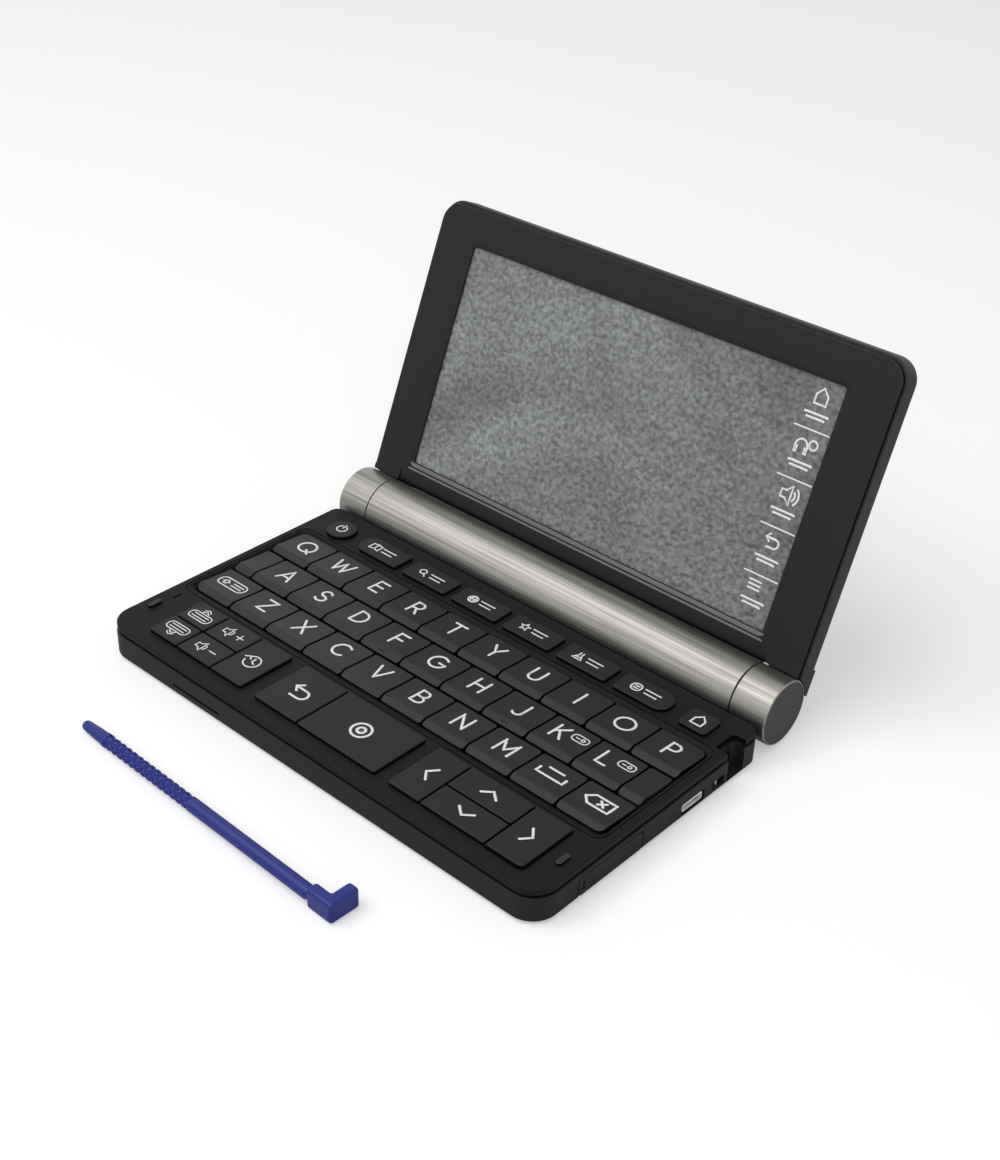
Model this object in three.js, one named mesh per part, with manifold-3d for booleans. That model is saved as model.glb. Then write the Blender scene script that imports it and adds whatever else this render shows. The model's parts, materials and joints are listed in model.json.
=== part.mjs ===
// Pocket electronic dictionary: a clamshell with a battery barrel for a hinge, a keyboard base,
// a screen lid that stands open, and a stylus that lies on the table in front.
// Millimetres, +Z up. The origin is the middle of the flat underside of the lower case.
// +X is the user's right, +Y runs from the user to the hinge.
import * as THREE from 'three';
import { mergeVertices } from 'three/addons/utils/BufferGeometryUtils.js';
import Module from 'manifold-3d';

const wasm = await Module();
wasm.setup();

// Fits that every piece shares
const seatGap = 0.3;
const overrun = 3;
const arcSteps = 3;
const barrelSteps = 36;

// Letter keys: columns, pitches and the drawn-up front ridge of each cap
const columns = 10;
const keyPitch = 14.08;
const rowPitch = 13.43;
const keyGap = 0.6;
const rowGap = 0.9;
const keyTravel = 1;
const capCornerRadius = 0.8;
const fieldCornerRadius = 2;
const capBackDrop = 0.47;
const capRidgeRise = 0.23;
const capLipDrop = 0.6;
const capDish = 0.1;
const capRidgeShare = 0.846;
const capDishShare = 0.45;

// Keys that stand in the deck plate by themselves or in groups
const deckKeyRise = 1.1;
const deckKeyEdge = 0.4;
const groupKeyGap = 0.5;
const keySideGap = 0.3;
const groupCornerRadius = 2.2;
const flangeWidth = 0.8;
const flangeThickness = 0.8;
const stemInset = 2.4;

// Layout of the base from front to back
const frontMargin = 4.5;
const groupDepth = 17.3;
const groupToField = 3.8;
const fieldFrontGap = 0.56;
const fieldSideGap = 0.4;
const fieldToStrip = 3.25;
const stripDepth = 7.5;
const stripToBarrel = 5.93;
const sideMargin = 3.6;
const barrelGap = 0.5;
const barrelLift = 0.35;

// Heights of the base
const deckTop = 9.4;
const deckThickness = 1.6;
const seamHeight = 1;
const seamInset = 0.9;
const deckInset = 0.2;
const deckEdge = 0.35;
const caseWall = 2.2;
const caseEdge = 0.8;
const frontCornerRadius = 7;
const rearCornerRadius = 3;
const gridThickness = 1;
const boardClearance = 0.4;
const footHeight = 0.6;
const footRadius = 4;
const footInset = 8.4;
const screwRadius = 2.2;
const screwDepth = 0.6;
const screwSideInset = 24;
const bumperLength = 4.2;
const bumperWidth = 1.6;
const bumperRise = 0.8;
const bumperInset = 3.9;

// Shares of the row of group keys, from left to right, gaps between groups included
const groupShares = {
  pageShare: 0.085,
  volumeShare: 0.1031,
  historyShare: 0.0897,
  backGapShare: 0.0386,
  backShare: 0.1204,
  enterShare: 0.2077,
  arrowGapShare: 0.0338,
  leftShare: 0.0803,
  upDownShare: 0.1554,
  rightShare: 0.086,
};
const groupLeftMargin = 12.7;
const groupRightMargin = 8.2;

// Shares of half the body width that place the row of function keys
const functionStripShare = 0.727;
const functionGapShare = 0.0331;
const powerPlaceShare = -0.8446;
const homeStartShare = 0.785;
const homeEndShare = 0.896;
const powerRadius = 4.3;
const functionCount = 6;
const functionCorner = 3.2;

// Stylus silo and the open corner notch that takes the stylus head
const siloSize = 4.6;
const siloWall = 1.2;
const siloLength = 86;
const siloFloor = 0.6;
const notchDepth = 4;
const notchWidth = 7.5;
const notchToStrip = 0.5;
const notchRound = 1.8;
const notchLedge = 0.5;

// Openings in the side walls, as widths, heights and places along Y
const usbWidth = 8.8;
const usbHeight = 3.2;
const usbDepth = 6;
const usbFloor = 0.8;
const usbPlaceShare = 0.113;
const strapWidth = 4.6;
const strapHeight = 2.5;
const strapFloor = 1.3;
const strapBar = 0.7;
const strapPassage = 1.6;
const coverLength = 22;
const coverHeight = 5.2;
const coverThickness = 1.2;
const coverCorner = 1;
const coverFloor = 0.35;
const coverPlaceShare = -0.488;
const coverTabLength = 12;
const coverTabHeight = 1;
const coverTabDepth = 0.9;
const jackRadius = 1.8;
const jackDepth = 9;
const jackPlaceShare = -0.4;
const jackHeightShare = 0.36;
const latchWidth = 17.6;
const latchHeight = 0.8;
const latchDepth = 1.2;
const latchPlaceShare = -0.516;
const latchHeightShare = 0.26;
const micLength = 2.9;
const micWidth = 0.6;
const micDepth = 0.8;
const micPlaceShare = -0.935;

// Barrel that is hinge and battery tube in one
const knuckleLength = 10.35;
const knuckleOverhang = 0.1;
const knuckleEdge = 0.45;
const pinRadius = 3;
const pinLength = 5.6;
const pinClearance = 0.3;
const barrelWall = 1.15;
const cellRadius = 7.05;
const cellSideGap = 0.55;
const cellLength = 50.2;
const cellPoleRadius = 2.7;
const cellPoleLength = 1;
const cellEndGap = 0.4;
const doorAngle = THREE.MathUtils.degToRad(-60);
const doorHalfAngle = THREE.MathUtils.degToRad(73);
const saddleDepth = 2.1;
const saddleFloor = 2.4;

// Lid, drawn flat and then turned up about the hinge
const lidOpenAngle = THREE.MathUtils.degToRad(68.43);
const lidLift = 1.8;
const lidThickness = 7.5;
const lidFrontSetback = 1.79;
const lidCornerRadius = 6;
const lidFootRadius = 1.2;
const bezelThickness = 0.9;
const bezelSideInset = 0.4;
const bezelTopInset = 0.9;
const bezelEdge = 0.6;
const screenSideMargin = 13.67;
const screenBottomMargin = 6.12;
const screenTopMargin = 10.72;
const screenBevel = 1.5;
const screenCornerRadius = 0.8;
const panelBorder = 1.5;
const panelThickness = 2;
const panelRib = 1.2;
const lidWall = 1.5;
const lidSkin = 1.9;
const earStart = 3.6;
const tabLength = 5.4;
const tabWidth = 6.4;
const tabThickness = 2.4;
const tabBackSkin = 2.4;
// How the back of the lid rounds off: shares of its thickness against inset in lid corner radii
const lidRoundShares = [[0, 0], [0.8, 0], [0.9, 0.05], [0.97, 0.12], [1, 0.22]];

// Stylus
const shaftRadius = 1.8;
const stylusLength = 92.4;
const tipRadius = 0.9;
// How the point rounds off: shares of its radius along the stylus and across it
const tipRoundShares = [[0.12, 0.5], [0.6, 1]];
const tipLength = 6;
const gripRadius = 1.85;
const gripStartShare = 0.11;
const gripEndShare = 0.457;
const headLength = 8.2;
const headThickness = 3.3;
const headHeight = 5.6;
const headReach = 5.2;
const headCorner = 1.6;
const headEdge = 0.7;
const stylusTurn = THREE.MathUtils.degToRad(-1.66);
const stylusSetOut = 24;
const stylusTipShare = -0.688;

// Worked out for the base
const bayRadius = cellRadius + cellSideGap;
const barrelRadius = bayRadius + barrelWall;
const bodyWidth = columns * keyPitch + 2 * sideMargin;
const halfWidth = bodyWidth / 2;
const fieldDepth = 3 * rowPitch - rowGap;
const baseDepth = frontMargin + groupDepth + groupToField + fieldFrontGap + fieldDepth
  + fieldToStrip + stripDepth + stripToBarrel;
const bodyDepth = baseDepth + 2 * barrelRadius;
const baseFront = -bodyDepth / 2;
const groupFront = baseFront + frontMargin;
const groupRear = groupFront + groupDepth;
const fieldFront = groupRear + groupToField;
const fieldRear = fieldFront + fieldFrontGap + fieldDepth;
const stripFront = fieldRear + fieldToStrip;
const stripRear = stripFront + stripDepth;
const hingeY = stripRear + stripToBarrel + barrelRadius;
const baseRear = hingeY - barrelRadius - barrelGap;
const deckBottom = deckTop - deckThickness;
const neckTop = deckBottom - seatGap;
const rimTop = deckBottom - seamHeight;
const capBottom = deckBottom;
const gridTop = capBottom - keyTravel - seatGap;
const gridBottom = gridTop - gridThickness;
const stemFoot = gridBottom - seatGap - flangeThickness;
const insideFloor = stemFoot - keyTravel - boardClearance;
const siloTop = neckTop - flangeThickness - keyTravel - boardClearance;
const siloCentreY = stripFront - notchToStrip + notchWidth / 2;
const notchWallX = halfWidth - notchDepth;
const hingeZ = barrelRadius + barrelLift;
const bezelFace = -lidLift;
const bezelBack = bezelFace - bezelThickness;
const shellRim = bezelBack - seatGap;
const lidBack = bezelFace - lidThickness;
const lidFoot = barrelRadius + barrelGap;
const lidHead = hingeY - baseFront - lidFrontSetback;
const glassHalf = halfWidth - screenSideMargin;
const glassFoot = lidFoot + screenBottomMargin;
const glassHead = lidHead - screenTopMargin;
const knuckleStart = halfWidth + knuckleOverhang - knuckleLength;
const centreHalf = knuckleStart - seatGap;
const bayHalf = cellLength + cellEndGap;

// Turns a three.js geometry into a solid that can be joined and cut
function toSolid(geometry) {
  const bare = geometry.clone();
  bare.deleteAttribute('normal');
  bare.deleteAttribute('uv');
  const merged = mergeVertices(bare);
  return new wasm.Manifold(new wasm.Mesh({
    numProp: 3,
    vertProperties: merged.attributes.position.array,
    triVerts: new Uint32Array(merged.index.array),
  }));
}

// Turns a solid back into a flat-shaded geometry
function toGeometry(solid) {
  const mesh = solid.getMesh();
  const shared = new THREE.BufferGeometry();
  shared.setAttribute('position', new THREE.BufferAttribute(new Float32Array(mesh.vertProperties), 3));
  shared.setIndex(new THREE.BufferAttribute(new Uint32Array(mesh.triVerts), 1));
  const geometry = shared.toNonIndexed();
  geometry.computeVertexNormals();
  return geometry;
}

// A rectangle as { x0, x1, y0, y1 }, drawn in by an inset on every side, or grown by a negative one
function inset(box, by) {
  return { x0: box.x0 + by, x1: box.x1 - by, y0: box.y0 + by, y1: box.y1 - by };
}

// Rounded rectangle as points, counterclockwise; radii run rear right, rear left, front left, front right
function roundedOutline(box, radii, steps = arcSteps) {
  const centres = [
    [box.x1, box.y1, -1, -1],
    [box.x0, box.y1, 1, -1],
    [box.x0, box.y0, 1, 1],
    [box.x1, box.y0, -1, 1],
  ];
  const points = [];
  centres.forEach(([x, y, inX, inY], corner) => {
    const radius = radii[corner];
    if (radius === 0) {
      points.push(new THREE.Vector2(x, y));
      return;
    }
    for (let step = 0; step <= steps; step += 1) {
      const angle = (corner + step / steps) * Math.PI / 2;
      points.push(new THREE.Vector2(
        x + inX * radius + radius * Math.cos(angle),
        y + inY * radius + radius * Math.sin(angle),
      ));
    }
  });
  return points;
}

function sameRadii(radius) {
  return [radius, radius, radius, radius];
}

// Straight-sided solid over an outline in X and Y
function prism(points, low, high) {
  const geometry = new THREE.ExtrudeGeometry(new THREE.Shape(points), {
    depth: high - low,
    bevelEnabled: false,
  });
  geometry.translate(0, 0, low);
  return toSolid(geometry);
}

function box(x0, x1, y0, y1, z0, z1) {
  return prism(roundedOutline({ x0, x1, y0, y1 }, sameRadii(0)), z0, z1);
}

// Solid that runs along X over an outline in Y and Z
function bar(points, start, end) {
  const geometry = new THREE.ExtrudeGeometry(new THREE.Shape(points), {
    depth: end - start,
    bevelEnabled: false,
  });
  const turned = new THREE.Matrix4().makeBasis(
    new THREE.Vector3(0, 1, 0),
    new THREE.Vector3(0, 0, 1),
    new THREE.Vector3(1, 0, 0),
  );
  geometry.applyMatrix4(turned);
  geometry.translate(start, 0, 0);
  return toSolid(geometry);
}

// Solid through a stack of outlines that have as many points each; rings are [points, z] from low to high
function loft(rings) {
  const count = rings[0][0].length;
  const positions = [];
  rings.forEach(([points, z]) => points.forEach((point) => positions.push(point.x, point.y, z)));
  const index = [];
  for (let ring = 0; ring + 1 < rings.length; ring += 1) {
    for (let point = 0; point < count; point += 1) {
      const next = (point + 1) % count;
      const low = ring * count;
      const high = low + count;
      index.push(low + point, low + next, high + next, low + point, high + next, high + point);
    }
  }
  const last = (rings.length - 1) * count;
  THREE.ShapeUtils.triangulateShape(rings[0][0], []).forEach(([a, b, c]) => index.push(a, c, b));
  THREE.ShapeUtils.triangulateShape(rings[rings.length - 1][0], []).forEach(([a, b, c]) => {
    index.push(last + a, last + b, last + c);
  });
  const geometry = new THREE.BufferGeometry();
  geometry.setAttribute('position', new THREE.Float32BufferAttribute(positions, 3));
  geometry.setIndex(index);
  return toSolid(geometry);
}

// Round solid along X; profile is a list of [x, radius] that starts and ends on the axis
function turnedAlongX(profile, steps = barrelSteps) {
  const rises = profile[0][0] < profile[profile.length - 1][0];
  const ordered = rises ? profile : [...profile].reverse();
  const points = ordered.map(([x, radius]) => new THREE.Vector2(radius, x));
  const geometry = new THREE.LatheGeometry(points, steps);
  geometry.rotateZ(-Math.PI / 2);
  return toSolid(geometry);
}

function rodAlongX(start, end, radius, steps = barrelSteps) {
  return turnedAlongX([[start, 0], [start, radius], [end, radius], [end, 0]], steps);
}

function discAt(x, y, radius, low, high, steps = barrelSteps / 2) {
  const geometry = new THREE.CylinderGeometry(radius, radius, high - low, steps);
  geometry.rotateX(Math.PI / 2);
  geometry.translate(x, y, (low + high) / 2);
  return toSolid(geometry);
}

// Wedge about the hinge axis, used to cut the battery opening and to shape its cover
function wedge(halfAngle, halfLength) {
  const reach = 2 * barrelRadius;
  const points = [new THREE.Vector2(0, 0)];
  const steps = Math.ceil(barrelSteps / 4);
  for (let step = 0; step <= steps; step += 1) {
    const angle = doorAngle + halfAngle * (2 * step / steps - 1);
    points.push(new THREE.Vector2(reach * Math.cos(angle), reach * Math.sin(angle)));
  }
  return bar(points, -halfLength, halfLength);
}

function joined(solids) {
  return solids.reduce((whole, solid) => whole.add(solid));
}

function cut(solid, cutters) {
  return cutters.reduce((rest, cutter) => rest.subtract(cutter), solid);
}

function moved(solid, x, y, z) {
  return solid.translate([x, y, z]);
}

const colours = {
  body: [0x2b2c2f, 0.55, 0],
  deck: [0x2d2e31, 0.5, 0],
  key: [0x2c2d30, 0.45, 0],
  barrel: [0x9a938a, 0.35, 0.9],
  barrelEnd: [0x5c5a58, 0.4, 0.6],
  bezel: [0x34353a, 0.5, 0],
  glass: [0x55585c, 0.12, 0],
  cover: [0x2a2b2e, 0.55, 0],
  cell: [0xb9bcc0, 0.35, 0.7],
  stylus: [0x23289a, 0.3, 0],
};

function piece(name, solid, colour) {
  const [color, roughness, metalness] = colours[colour];
  const material = new THREE.MeshStandardMaterial({ color, roughness, metalness });
  const mesh = new THREE.Mesh(toGeometry(solid), material);
  mesh.name = name;
  return mesh;
}

// Where each key lies: name, box, corner radii and, for keys in the plate, the sides that border the plate
function letterKeys() {
  const rows = [
    ['q', 'w', 'e', 'r', 't', 'y', 'u', 'i', 'o', 'p'],
    ['a', 's', 'd', 'f', 'g', 'h', 'j', 'k', 'l'],
    ['shift', 'z', 'x', 'c', 'v', 'b', 'n', 'm', 'space', 'delete'],
  ];
  const keys = [];
  rows.forEach((row, rowNumber) => {
    const start = -row.length * keyPitch / 2;
    const y1 = fieldRear - rowNumber * rowPitch;
    row.forEach((name, column) => {
      const x0 = start + column * keyPitch + keyGap / 2;
      keys.push({
        name,
        box: { x0, x1: x0 + keyPitch - keyGap, y0: y1 - rowPitch + rowGap, y1 },
        radii: cornersOfField(rowNumber, column, row.length),
      });
    });
  });
  return keys;
}

// The four corner keys of the field follow its rounder corners
function cornersOfField(row, column, length) {
  const big = fieldCornerRadius;
  const small = capCornerRadius;
  return [
    row === 0 && column === length - 1 ? big : small,
    row === 0 && column === 0 ? big : small,
    row === 2 && column === 0 ? big : small,
    row === 2 && column === length - 1 ? big : small,
  ];
}

function groupKeys() {
  const rowLength = bodyWidth - groupLeftMargin - groupRightMargin;
  const half = groupKeyGap / 2;
  const middle = (groupFront + groupRear) / 2;
  const round = groupCornerRadius;
  const edges = {};
  let x = groupLeftMargin - halfWidth;
  Object.entries(groupShares).forEach(([name, share]) => {
    edges[name] = [x, x + share * rowLength];
    x += share * rowLength;
  });
  const lower = { y0: groupFront, y1: middle - half };
  const upper = { y0: middle + half, y1: groupRear };
  const full = { y0: groupFront, y1: groupRear };
  const group = (name, share, [left, right], span, radii, sides) => ({
    name,
    box: { x0: edges[share][0] + left, x1: edges[share][1] - right, ...span },
    radii,
    sides,
  });
  const square = [0, 0, 0, 0];
  const leftRound = [0, round, round, 0];
  const rightRound = [round, 0, 0, round];
  return [
    group('previous', 'pageShare', [0, half], upper, [0, round, 0, 0], 'left rear'),
    group('next', 'pageShare', [0, half], lower, [0, 0, round, 0], 'left front'),
    group('volume_up', 'volumeShare', [half, half], upper, square, 'rear'),
    group('volume_down', 'volumeShare', [half, half], lower, square, 'front'),
    group('history', 'historyShare', [half, 0], full, rightRound, 'right rear front'),
    group('back', 'backShare', [0, half], full, leftRound, 'left rear front'),
    group('enter', 'enterShare', [half, 0], full, rightRound, 'right rear front'),
    group('left', 'leftShare', [0, half], full, leftRound, 'left rear front'),
    group('up', 'upDownShare', [half, half], upper, square, 'rear'),
    group('down', 'upDownShare', [half, half], lower, square, 'front'),
    group('right', 'rightShare', [half, 0], full, [round, 0, 0, 2 * round], 'right rear front'),
  ];
}

function functionKeys() {
  const y = { y0: stripFront, y1: stripRear };
  const stripHalf = functionStripShare * halfWidth;
  const gap = functionGapShare * halfWidth;
  const width = (2 * stripHalf - (functionCount - 1) * gap) / functionCount;
  const power = powerPlaceShare * halfWidth;
  const middle = (stripFront + stripRear) / 2;
  const keys = [{
    name: 'power',
    box: inset({ x0: power, x1: power, y0: middle, y1: middle }, -powerRadius),
    radii: sameRadii(powerRadius),
    sides: 'left right front rear',
  }];
  for (let number = 0; number < functionCount; number += 1) {
    const x0 = -stripHalf + number * (width + gap);
    const first = number === 0 ? functionCorner : capCornerRadius;
    const last = number === functionCount - 1 ? functionCorner : capCornerRadius;
    keys.push({
      name: `f${number + 1}`,
      box: { x0, x1: x0 + width, ...y },
      radii: [last, first, first, last],
      sides: 'left right front rear',
    });
  }
  keys.push({
    name: 'home',
    box: { x0: homeStartShare * halfWidth, x1: homeEndShare * halfWidth, ...y },
    radii: sameRadii(groupCornerRadius),
    sides: 'left right front rear',
  });
  return keys;
}

// Side profile of a letter key: low at the back, a shallow dish, a ridge, then a lip that drops in front
function capProfile(y0, y1, low) {
  const depth = y1 - y0;
  const back = deckTop - capBackDrop;
  const ridge = deckTop + capRidgeRise;
  const dish = back + (ridge - back) * capDishShare / capRidgeShare - capDish;
  return [
    new THREE.Vector2(y0, low),
    new THREE.Vector2(y1, low),
    new THREE.Vector2(y1, back),
    new THREE.Vector2(y1 - capDishShare * depth, dish),
    new THREE.Vector2(y1 - capRidgeShare * depth, ridge),
    new THREE.Vector2(y0, deckTop - capLipDrop),
  ];
}

function letterCap(key, low) {
  const { x0, x1, y0, y1 } = key.box;
  const plan = prism(roundedOutline(key.box, key.radii), low - overrun, deckTop + overrun);
  return bar(capProfile(y0, y1, low), x0 - overrun, x1 + overrun).intersect(plan);
}

// Stem under the cap and the wider foot that holds the key under the grid
function letterKey(key) {
  const stem = inset(key.box, stemInset);
  const foot = inset(stem, -seatGap - flangeWidth);
  return joined([
    letterCap(key, capBottom),
    box(stem.x0, stem.x1, stem.y0, stem.y1, stemFoot, capBottom + capDish),
    box(foot.x0, foot.x1, foot.y0, foot.y1, stemFoot, gridBottom - seatGap),
  ]);
}

// Box grown only on the sides that border the plate, so that neighbours in a group stay clear
function flangeBox(key) {
  const by = keySideGap + flangeWidth;
  return {
    x0: key.box.x0 - (key.sides.includes('left') ? by : 0),
    x1: key.box.x1 + (key.sides.includes('right') ? by : 0),
    y0: key.box.y0 - (key.sides.includes('front') ? by : 0),
    y1: key.box.y1 + (key.sides.includes('rear') ? by : 0),
  };
}

// Key that stands in the plate: flat cap with a broken edge, on a flange that sits under the plate
function deckKey(key, hasStem) {
  const top = deckTop + deckKeyRise;
  const radii = key.radii.map((radius) => Math.max(radius, deckKeyEdge));
  const topRadii = radii.map((radius) => Math.max(radius - deckKeyEdge, deckKeyEdge / 2));
  const cap = loft([
    [roundedOutline(key.box, radii), neckTop - flangeThickness / 2],
    [roundedOutline(key.box, radii), top - deckKeyEdge],
    [roundedOutline(inset(key.box, deckKeyEdge), topRadii), top],
  ]);
  const flange = flangeBox(key);
  const flangeFoot = neckTop - flangeThickness;
  const solids = [cap, box(flange.x0, flange.x1, flange.y0, flange.y1, flangeFoot, neckTop)];
  if (hasStem) {
    const stem = inset(key.box, stemInset);
    solids.push(box(stem.x0, stem.x1, stem.y0, stem.y1, stemFoot, neckTop - flangeThickness / 2));
  }
  return joined(solids);
}

const letters = letterKeys();
const groups = groupKeys();
const functions = functionKeys();

function allKeys() {
  return [
    ...functions.map((key) => piece(`key_${key.name}`, deckKey(key, false), 'key')),
    ...letters.map((key) => piece(`key_${key.name}`, letterKey(key), 'key')),
    ...groups.map((key) => piece(`key_${key.name}`, deckKey(key, true), 'key')),
  ];
}

// Plan of the base, drawn in by an inset
function basePlan(by) {
  const plan = inset({ x0: -halfWidth, x1: halfWidth, y0: baseFront, y1: baseRear }, by);
  const rear = Math.max(rearCornerRadius - by, seamInset);
  const front = Math.max(frontCornerRadius - by, seamInset);
  return roundedOutline(plan, [rear, rear, front, front], 2 * arcSteps);
}

// Corner notch, open to the side and the top, with a round inner corner
function notchCutter(ledge, low) {
  return prism(roundedOutline(
    {
      x0: notchWallX + ledge,
      x1: halfWidth + overrun,
      y0: stripFront - notchToStrip + ledge,
      y1: stripFront - notchToStrip + notchWidth - ledge,
    },
    [0, notchRound, capCornerRadius, 0],
  ), low, deckTop + overrun);
}

// Channel for the shaft of the stylus, open upwards inside the case, with a square mouth in the end wall
function siloCutters() {
  const y0 = siloCentreY - siloSize / 2;
  const y1 = siloCentreY + siloSize / 2;
  return [
    box(notchWallX - siloLength, notchWallX - siloWall, y0, y1, siloFloor, siloTop + overrun),
    box(notchWallX - siloWall - seatGap, halfWidth + overrun, y0, y1, siloFloor, siloFloor + siloSize),
  ];
}

// Where the screws sit that hold the two halves of the base together
function screwPlaces() {
  const x = halfWidth - screwSideInset;
  const rear = siloCentreY - siloSize - screwRadius - siloWall;
  const front = baseFront + frontCornerRadius;
  return [[-x, front], [0, front], [x, front], [-x, rear], [0, rear], [x, rear]];
}

function sideOpenings() {
  const wall = halfWidth + overrun;
  const usbY = usbPlaceShare * bodyDepth / 2;
  const strapRear = stripFront - notchToStrip - strapBar;
  const coverY = coverPlaceShare * bodyDepth / 2;
  const coverBox = inset({ x0: coverY - coverLength / 2, x1: coverY + coverLength / 2,
    y0: coverFloor, y1: coverFloor + coverHeight }, -seatGap);
  const recessDepth = coverThickness + seatGap;
  return [
    box(halfWidth - usbDepth, wall, usbY - usbWidth / 2, usbY + usbWidth / 2,
      usbFloor, usbFloor + usbHeight),
    box(halfWidth - strapPassage - strapBar, wall, strapRear - strapWidth, strapRear,
      strapFloor, strapFloor + strapHeight),
    box(halfWidth - strapPassage - strapBar, halfWidth - strapBar, strapRear - strapWidth,
      strapRear + 2 * strapBar + notchLedge, strapFloor, strapFloor + strapHeight),
    bar(roundedOutline(coverBox, sameRadii(coverCorner)), halfWidth - recessDepth, wall),
    box(halfWidth - recessDepth - coverTabDepth - seatGap, wall,
      coverY - coverTabLength / 2 - seatGap, coverY + coverTabLength / 2 + seatGap,
      coverFloor + coverHeight / 2 - coverTabHeight / 2 - seatGap,
      coverFloor + coverHeight / 2 + coverTabHeight / 2 + seatGap),
  ];
}

function cardSlotCover() {
  const y = coverPlaceShare * bodyDepth / 2;
  const face = {
    x0: y - coverLength / 2,
    x1: y + coverLength / 2,
    y0: coverFloor,
    y1: coverFloor + coverHeight,
  };
  const middle = coverFloor + coverHeight / 2;
  return joined([
    bar(roundedOutline(face, sameRadii(coverCorner)), halfWidth - coverThickness, halfWidth),
    box(halfWidth - coverThickness - seatGap - coverTabDepth, halfWidth - coverThickness / 2,
      y - coverTabLength / 2, y + coverTabLength / 2,
      middle - coverTabHeight / 2, middle + coverTabHeight / 2),
  ]);
}

// Lower case: a tray with a rounded rim, a neck that carries the plate, the silo and the side openings
function bottomCase() {
  const outer = loft([
    [basePlan(caseEdge), 0],
    [basePlan(caseEdge / 4), caseEdge / 4],
    [basePlan(0), caseEdge],
    [basePlan(0), rimTop - deckEdge],
    [basePlan(deckEdge), rimTop],
  ]);
  const neck = prism(basePlan(seamInset), insideFloor, neckTop);
  const tray = prism(basePlan(caseWall), insideFloor, neckTop + overrun);
  const siloBlockFront = siloCentreY - siloSize / 2 - siloWall;
  const silo = box(-halfWidth + caseWall / 2, notchWallX, siloBlockFront, baseRear - caseWall / 2,
    siloFloor, siloTop);
  const endWall = box(notchWallX - siloWall, halfWidth - caseWall / 2,
    siloBlockFront, baseRear - caseWall / 2, siloFloor, neckTop);
  const notchStart = prism(basePlan(seamInset), siloFloor, neckTop)
    .intersect(box(notchWallX - siloWall, halfWidth, siloBlockFront, baseRear, siloFloor, neckTop));
  const feet = [];
  const footX = halfWidth - footInset;
  [-footX, footX].forEach((x) => {
    [baseFront + footInset, baseRear - footRadius].forEach((y) => {
      feet.push(discAt(x, y, footRadius, -footHeight, siloFloor));
    });
  });
  const shell = joined([cut(outer.add(neck), [tray]), silo, endWall, notchStart, ...feet]);
  const latchX = latchPlaceShare * halfWidth;
  const latchZ = latchHeightShare * deckTop;
  const jack = moved(rodAlongX(0, jackDepth, jackRadius, barrelSteps / 2),
    -halfWidth - jackDepth / 4, jackPlaceShare * bodyDepth / 2, jackHeightShare * deckTop);
  return cut(shell, [
    notchCutter(notchLedge, siloFloor),
    ...siloCutters(),
    ...sideOpenings(),
    jack,
    box(latchX - latchWidth / 2, latchX + latchWidth / 2, baseFront - overrun, baseFront + latchDepth,
      latchZ - latchHeight / 2, latchZ + latchHeight / 2),
    ...screwPlaces().map(([x, y]) => discAt(x, y, screwRadius, -overrun, screwDepth)),
  ]);
}

// Upper plate with the openings for the keys, the grid that holds the letter keys, fillers and bumpers
function keyboardDeck() {
  const plate = loft([
    [basePlan(deckInset), deckBottom],
    [basePlan(deckInset), deckTop - deckEdge],
    [basePlan(deckInset + deckEdge / 4), deckTop - deckEdge / 4],
    [basePlan(deckInset + deckEdge), deckTop],
  ]);
  const half = columns * keyPitch / 2 - keyGap / 2;
  const field = inset(
    { x0: -half, x1: half, y0: fieldFront + fieldSideGap, y1: fieldRear },
    -fieldSideGap,
  );
  const skirt = inset(field, -seatGap * 2 - fieldSideGap);
  const skirtPlan = roundedOutline(skirt, sameRadii(capCornerRadius));
  const skirtWall = prism(skirtPlan, gridBottom, deckBottom + deckEdge);
  const fieldPlan = roundedOutline(field, sameRadii(fieldCornerRadius));
  const fieldCut = prism(fieldPlan, gridTop, deckTop + overrun);
  const gridHoles = letters.map((key) => {
    const hole = inset(key.box, stemInset - seatGap);
    return box(hole.x0, hole.x1, hole.y0, hole.y1, gridBottom - overrun, gridTop + overrun);
  });
  const holes = [...groups, ...functions].map((key) => {
    const hole = inset(key.box, -keySideGap);
    const radii = key.radii.map((radius) => (radius === 0 ? 0 : radius + keySideGap));
    return prism(roundedOutline(hole, radii), deckBottom - overrun, deckTop + overrun);
  });
  const fillerRear = fieldRear - rowPitch;
  const fillers = [-1, 1].map((side) => {
    const inner = side * (half - keyPitch / 2 + keyGap / 2 + keyGap / 2);
    const outer = side * half;
    return letterCap({
      box: { x0: Math.min(inner, outer), x1: Math.max(inner, outer),
        y0: fillerRear - rowPitch + rowGap, y1: fillerRear },
      radii: sameRadii(capCornerRadius),
    }, gridTop - gridThickness / 2);
  });
  const bumperY = (groupFront + groupRear) / 2;
  const bumpers = [-1, 1].map((side) => {
    const x = side * (halfWidth - bumperInset);
    const plan = {
      x0: x - bumperWidth / 2,
      x1: x + bumperWidth / 2,
      y0: bumperY - bumperLength / 2,
      y1: bumperY + bumperLength / 2,
    };
    return prism(roundedOutline(plan, sameRadii(bumperWidth / 2)), deckTop - deckThickness / 2,
      deckTop + bumperRise);
  });
  const micX = micPlaceShare * halfWidth;
  const mic = box(micX - micWidth / 2, micX + micWidth / 2, groupRear - micLength - micWidth,
    groupRear - micWidth, deckTop - micDepth, deckTop + overrun);
  const notch = notchCutter(0, deckBottom - overrun);
  const open = cut(plate.add(skirtWall), [fieldCut, ...gridHoles, ...holes, notch, mic]);
  return joined([open, ...fillers, ...bumpers]);
}

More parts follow.
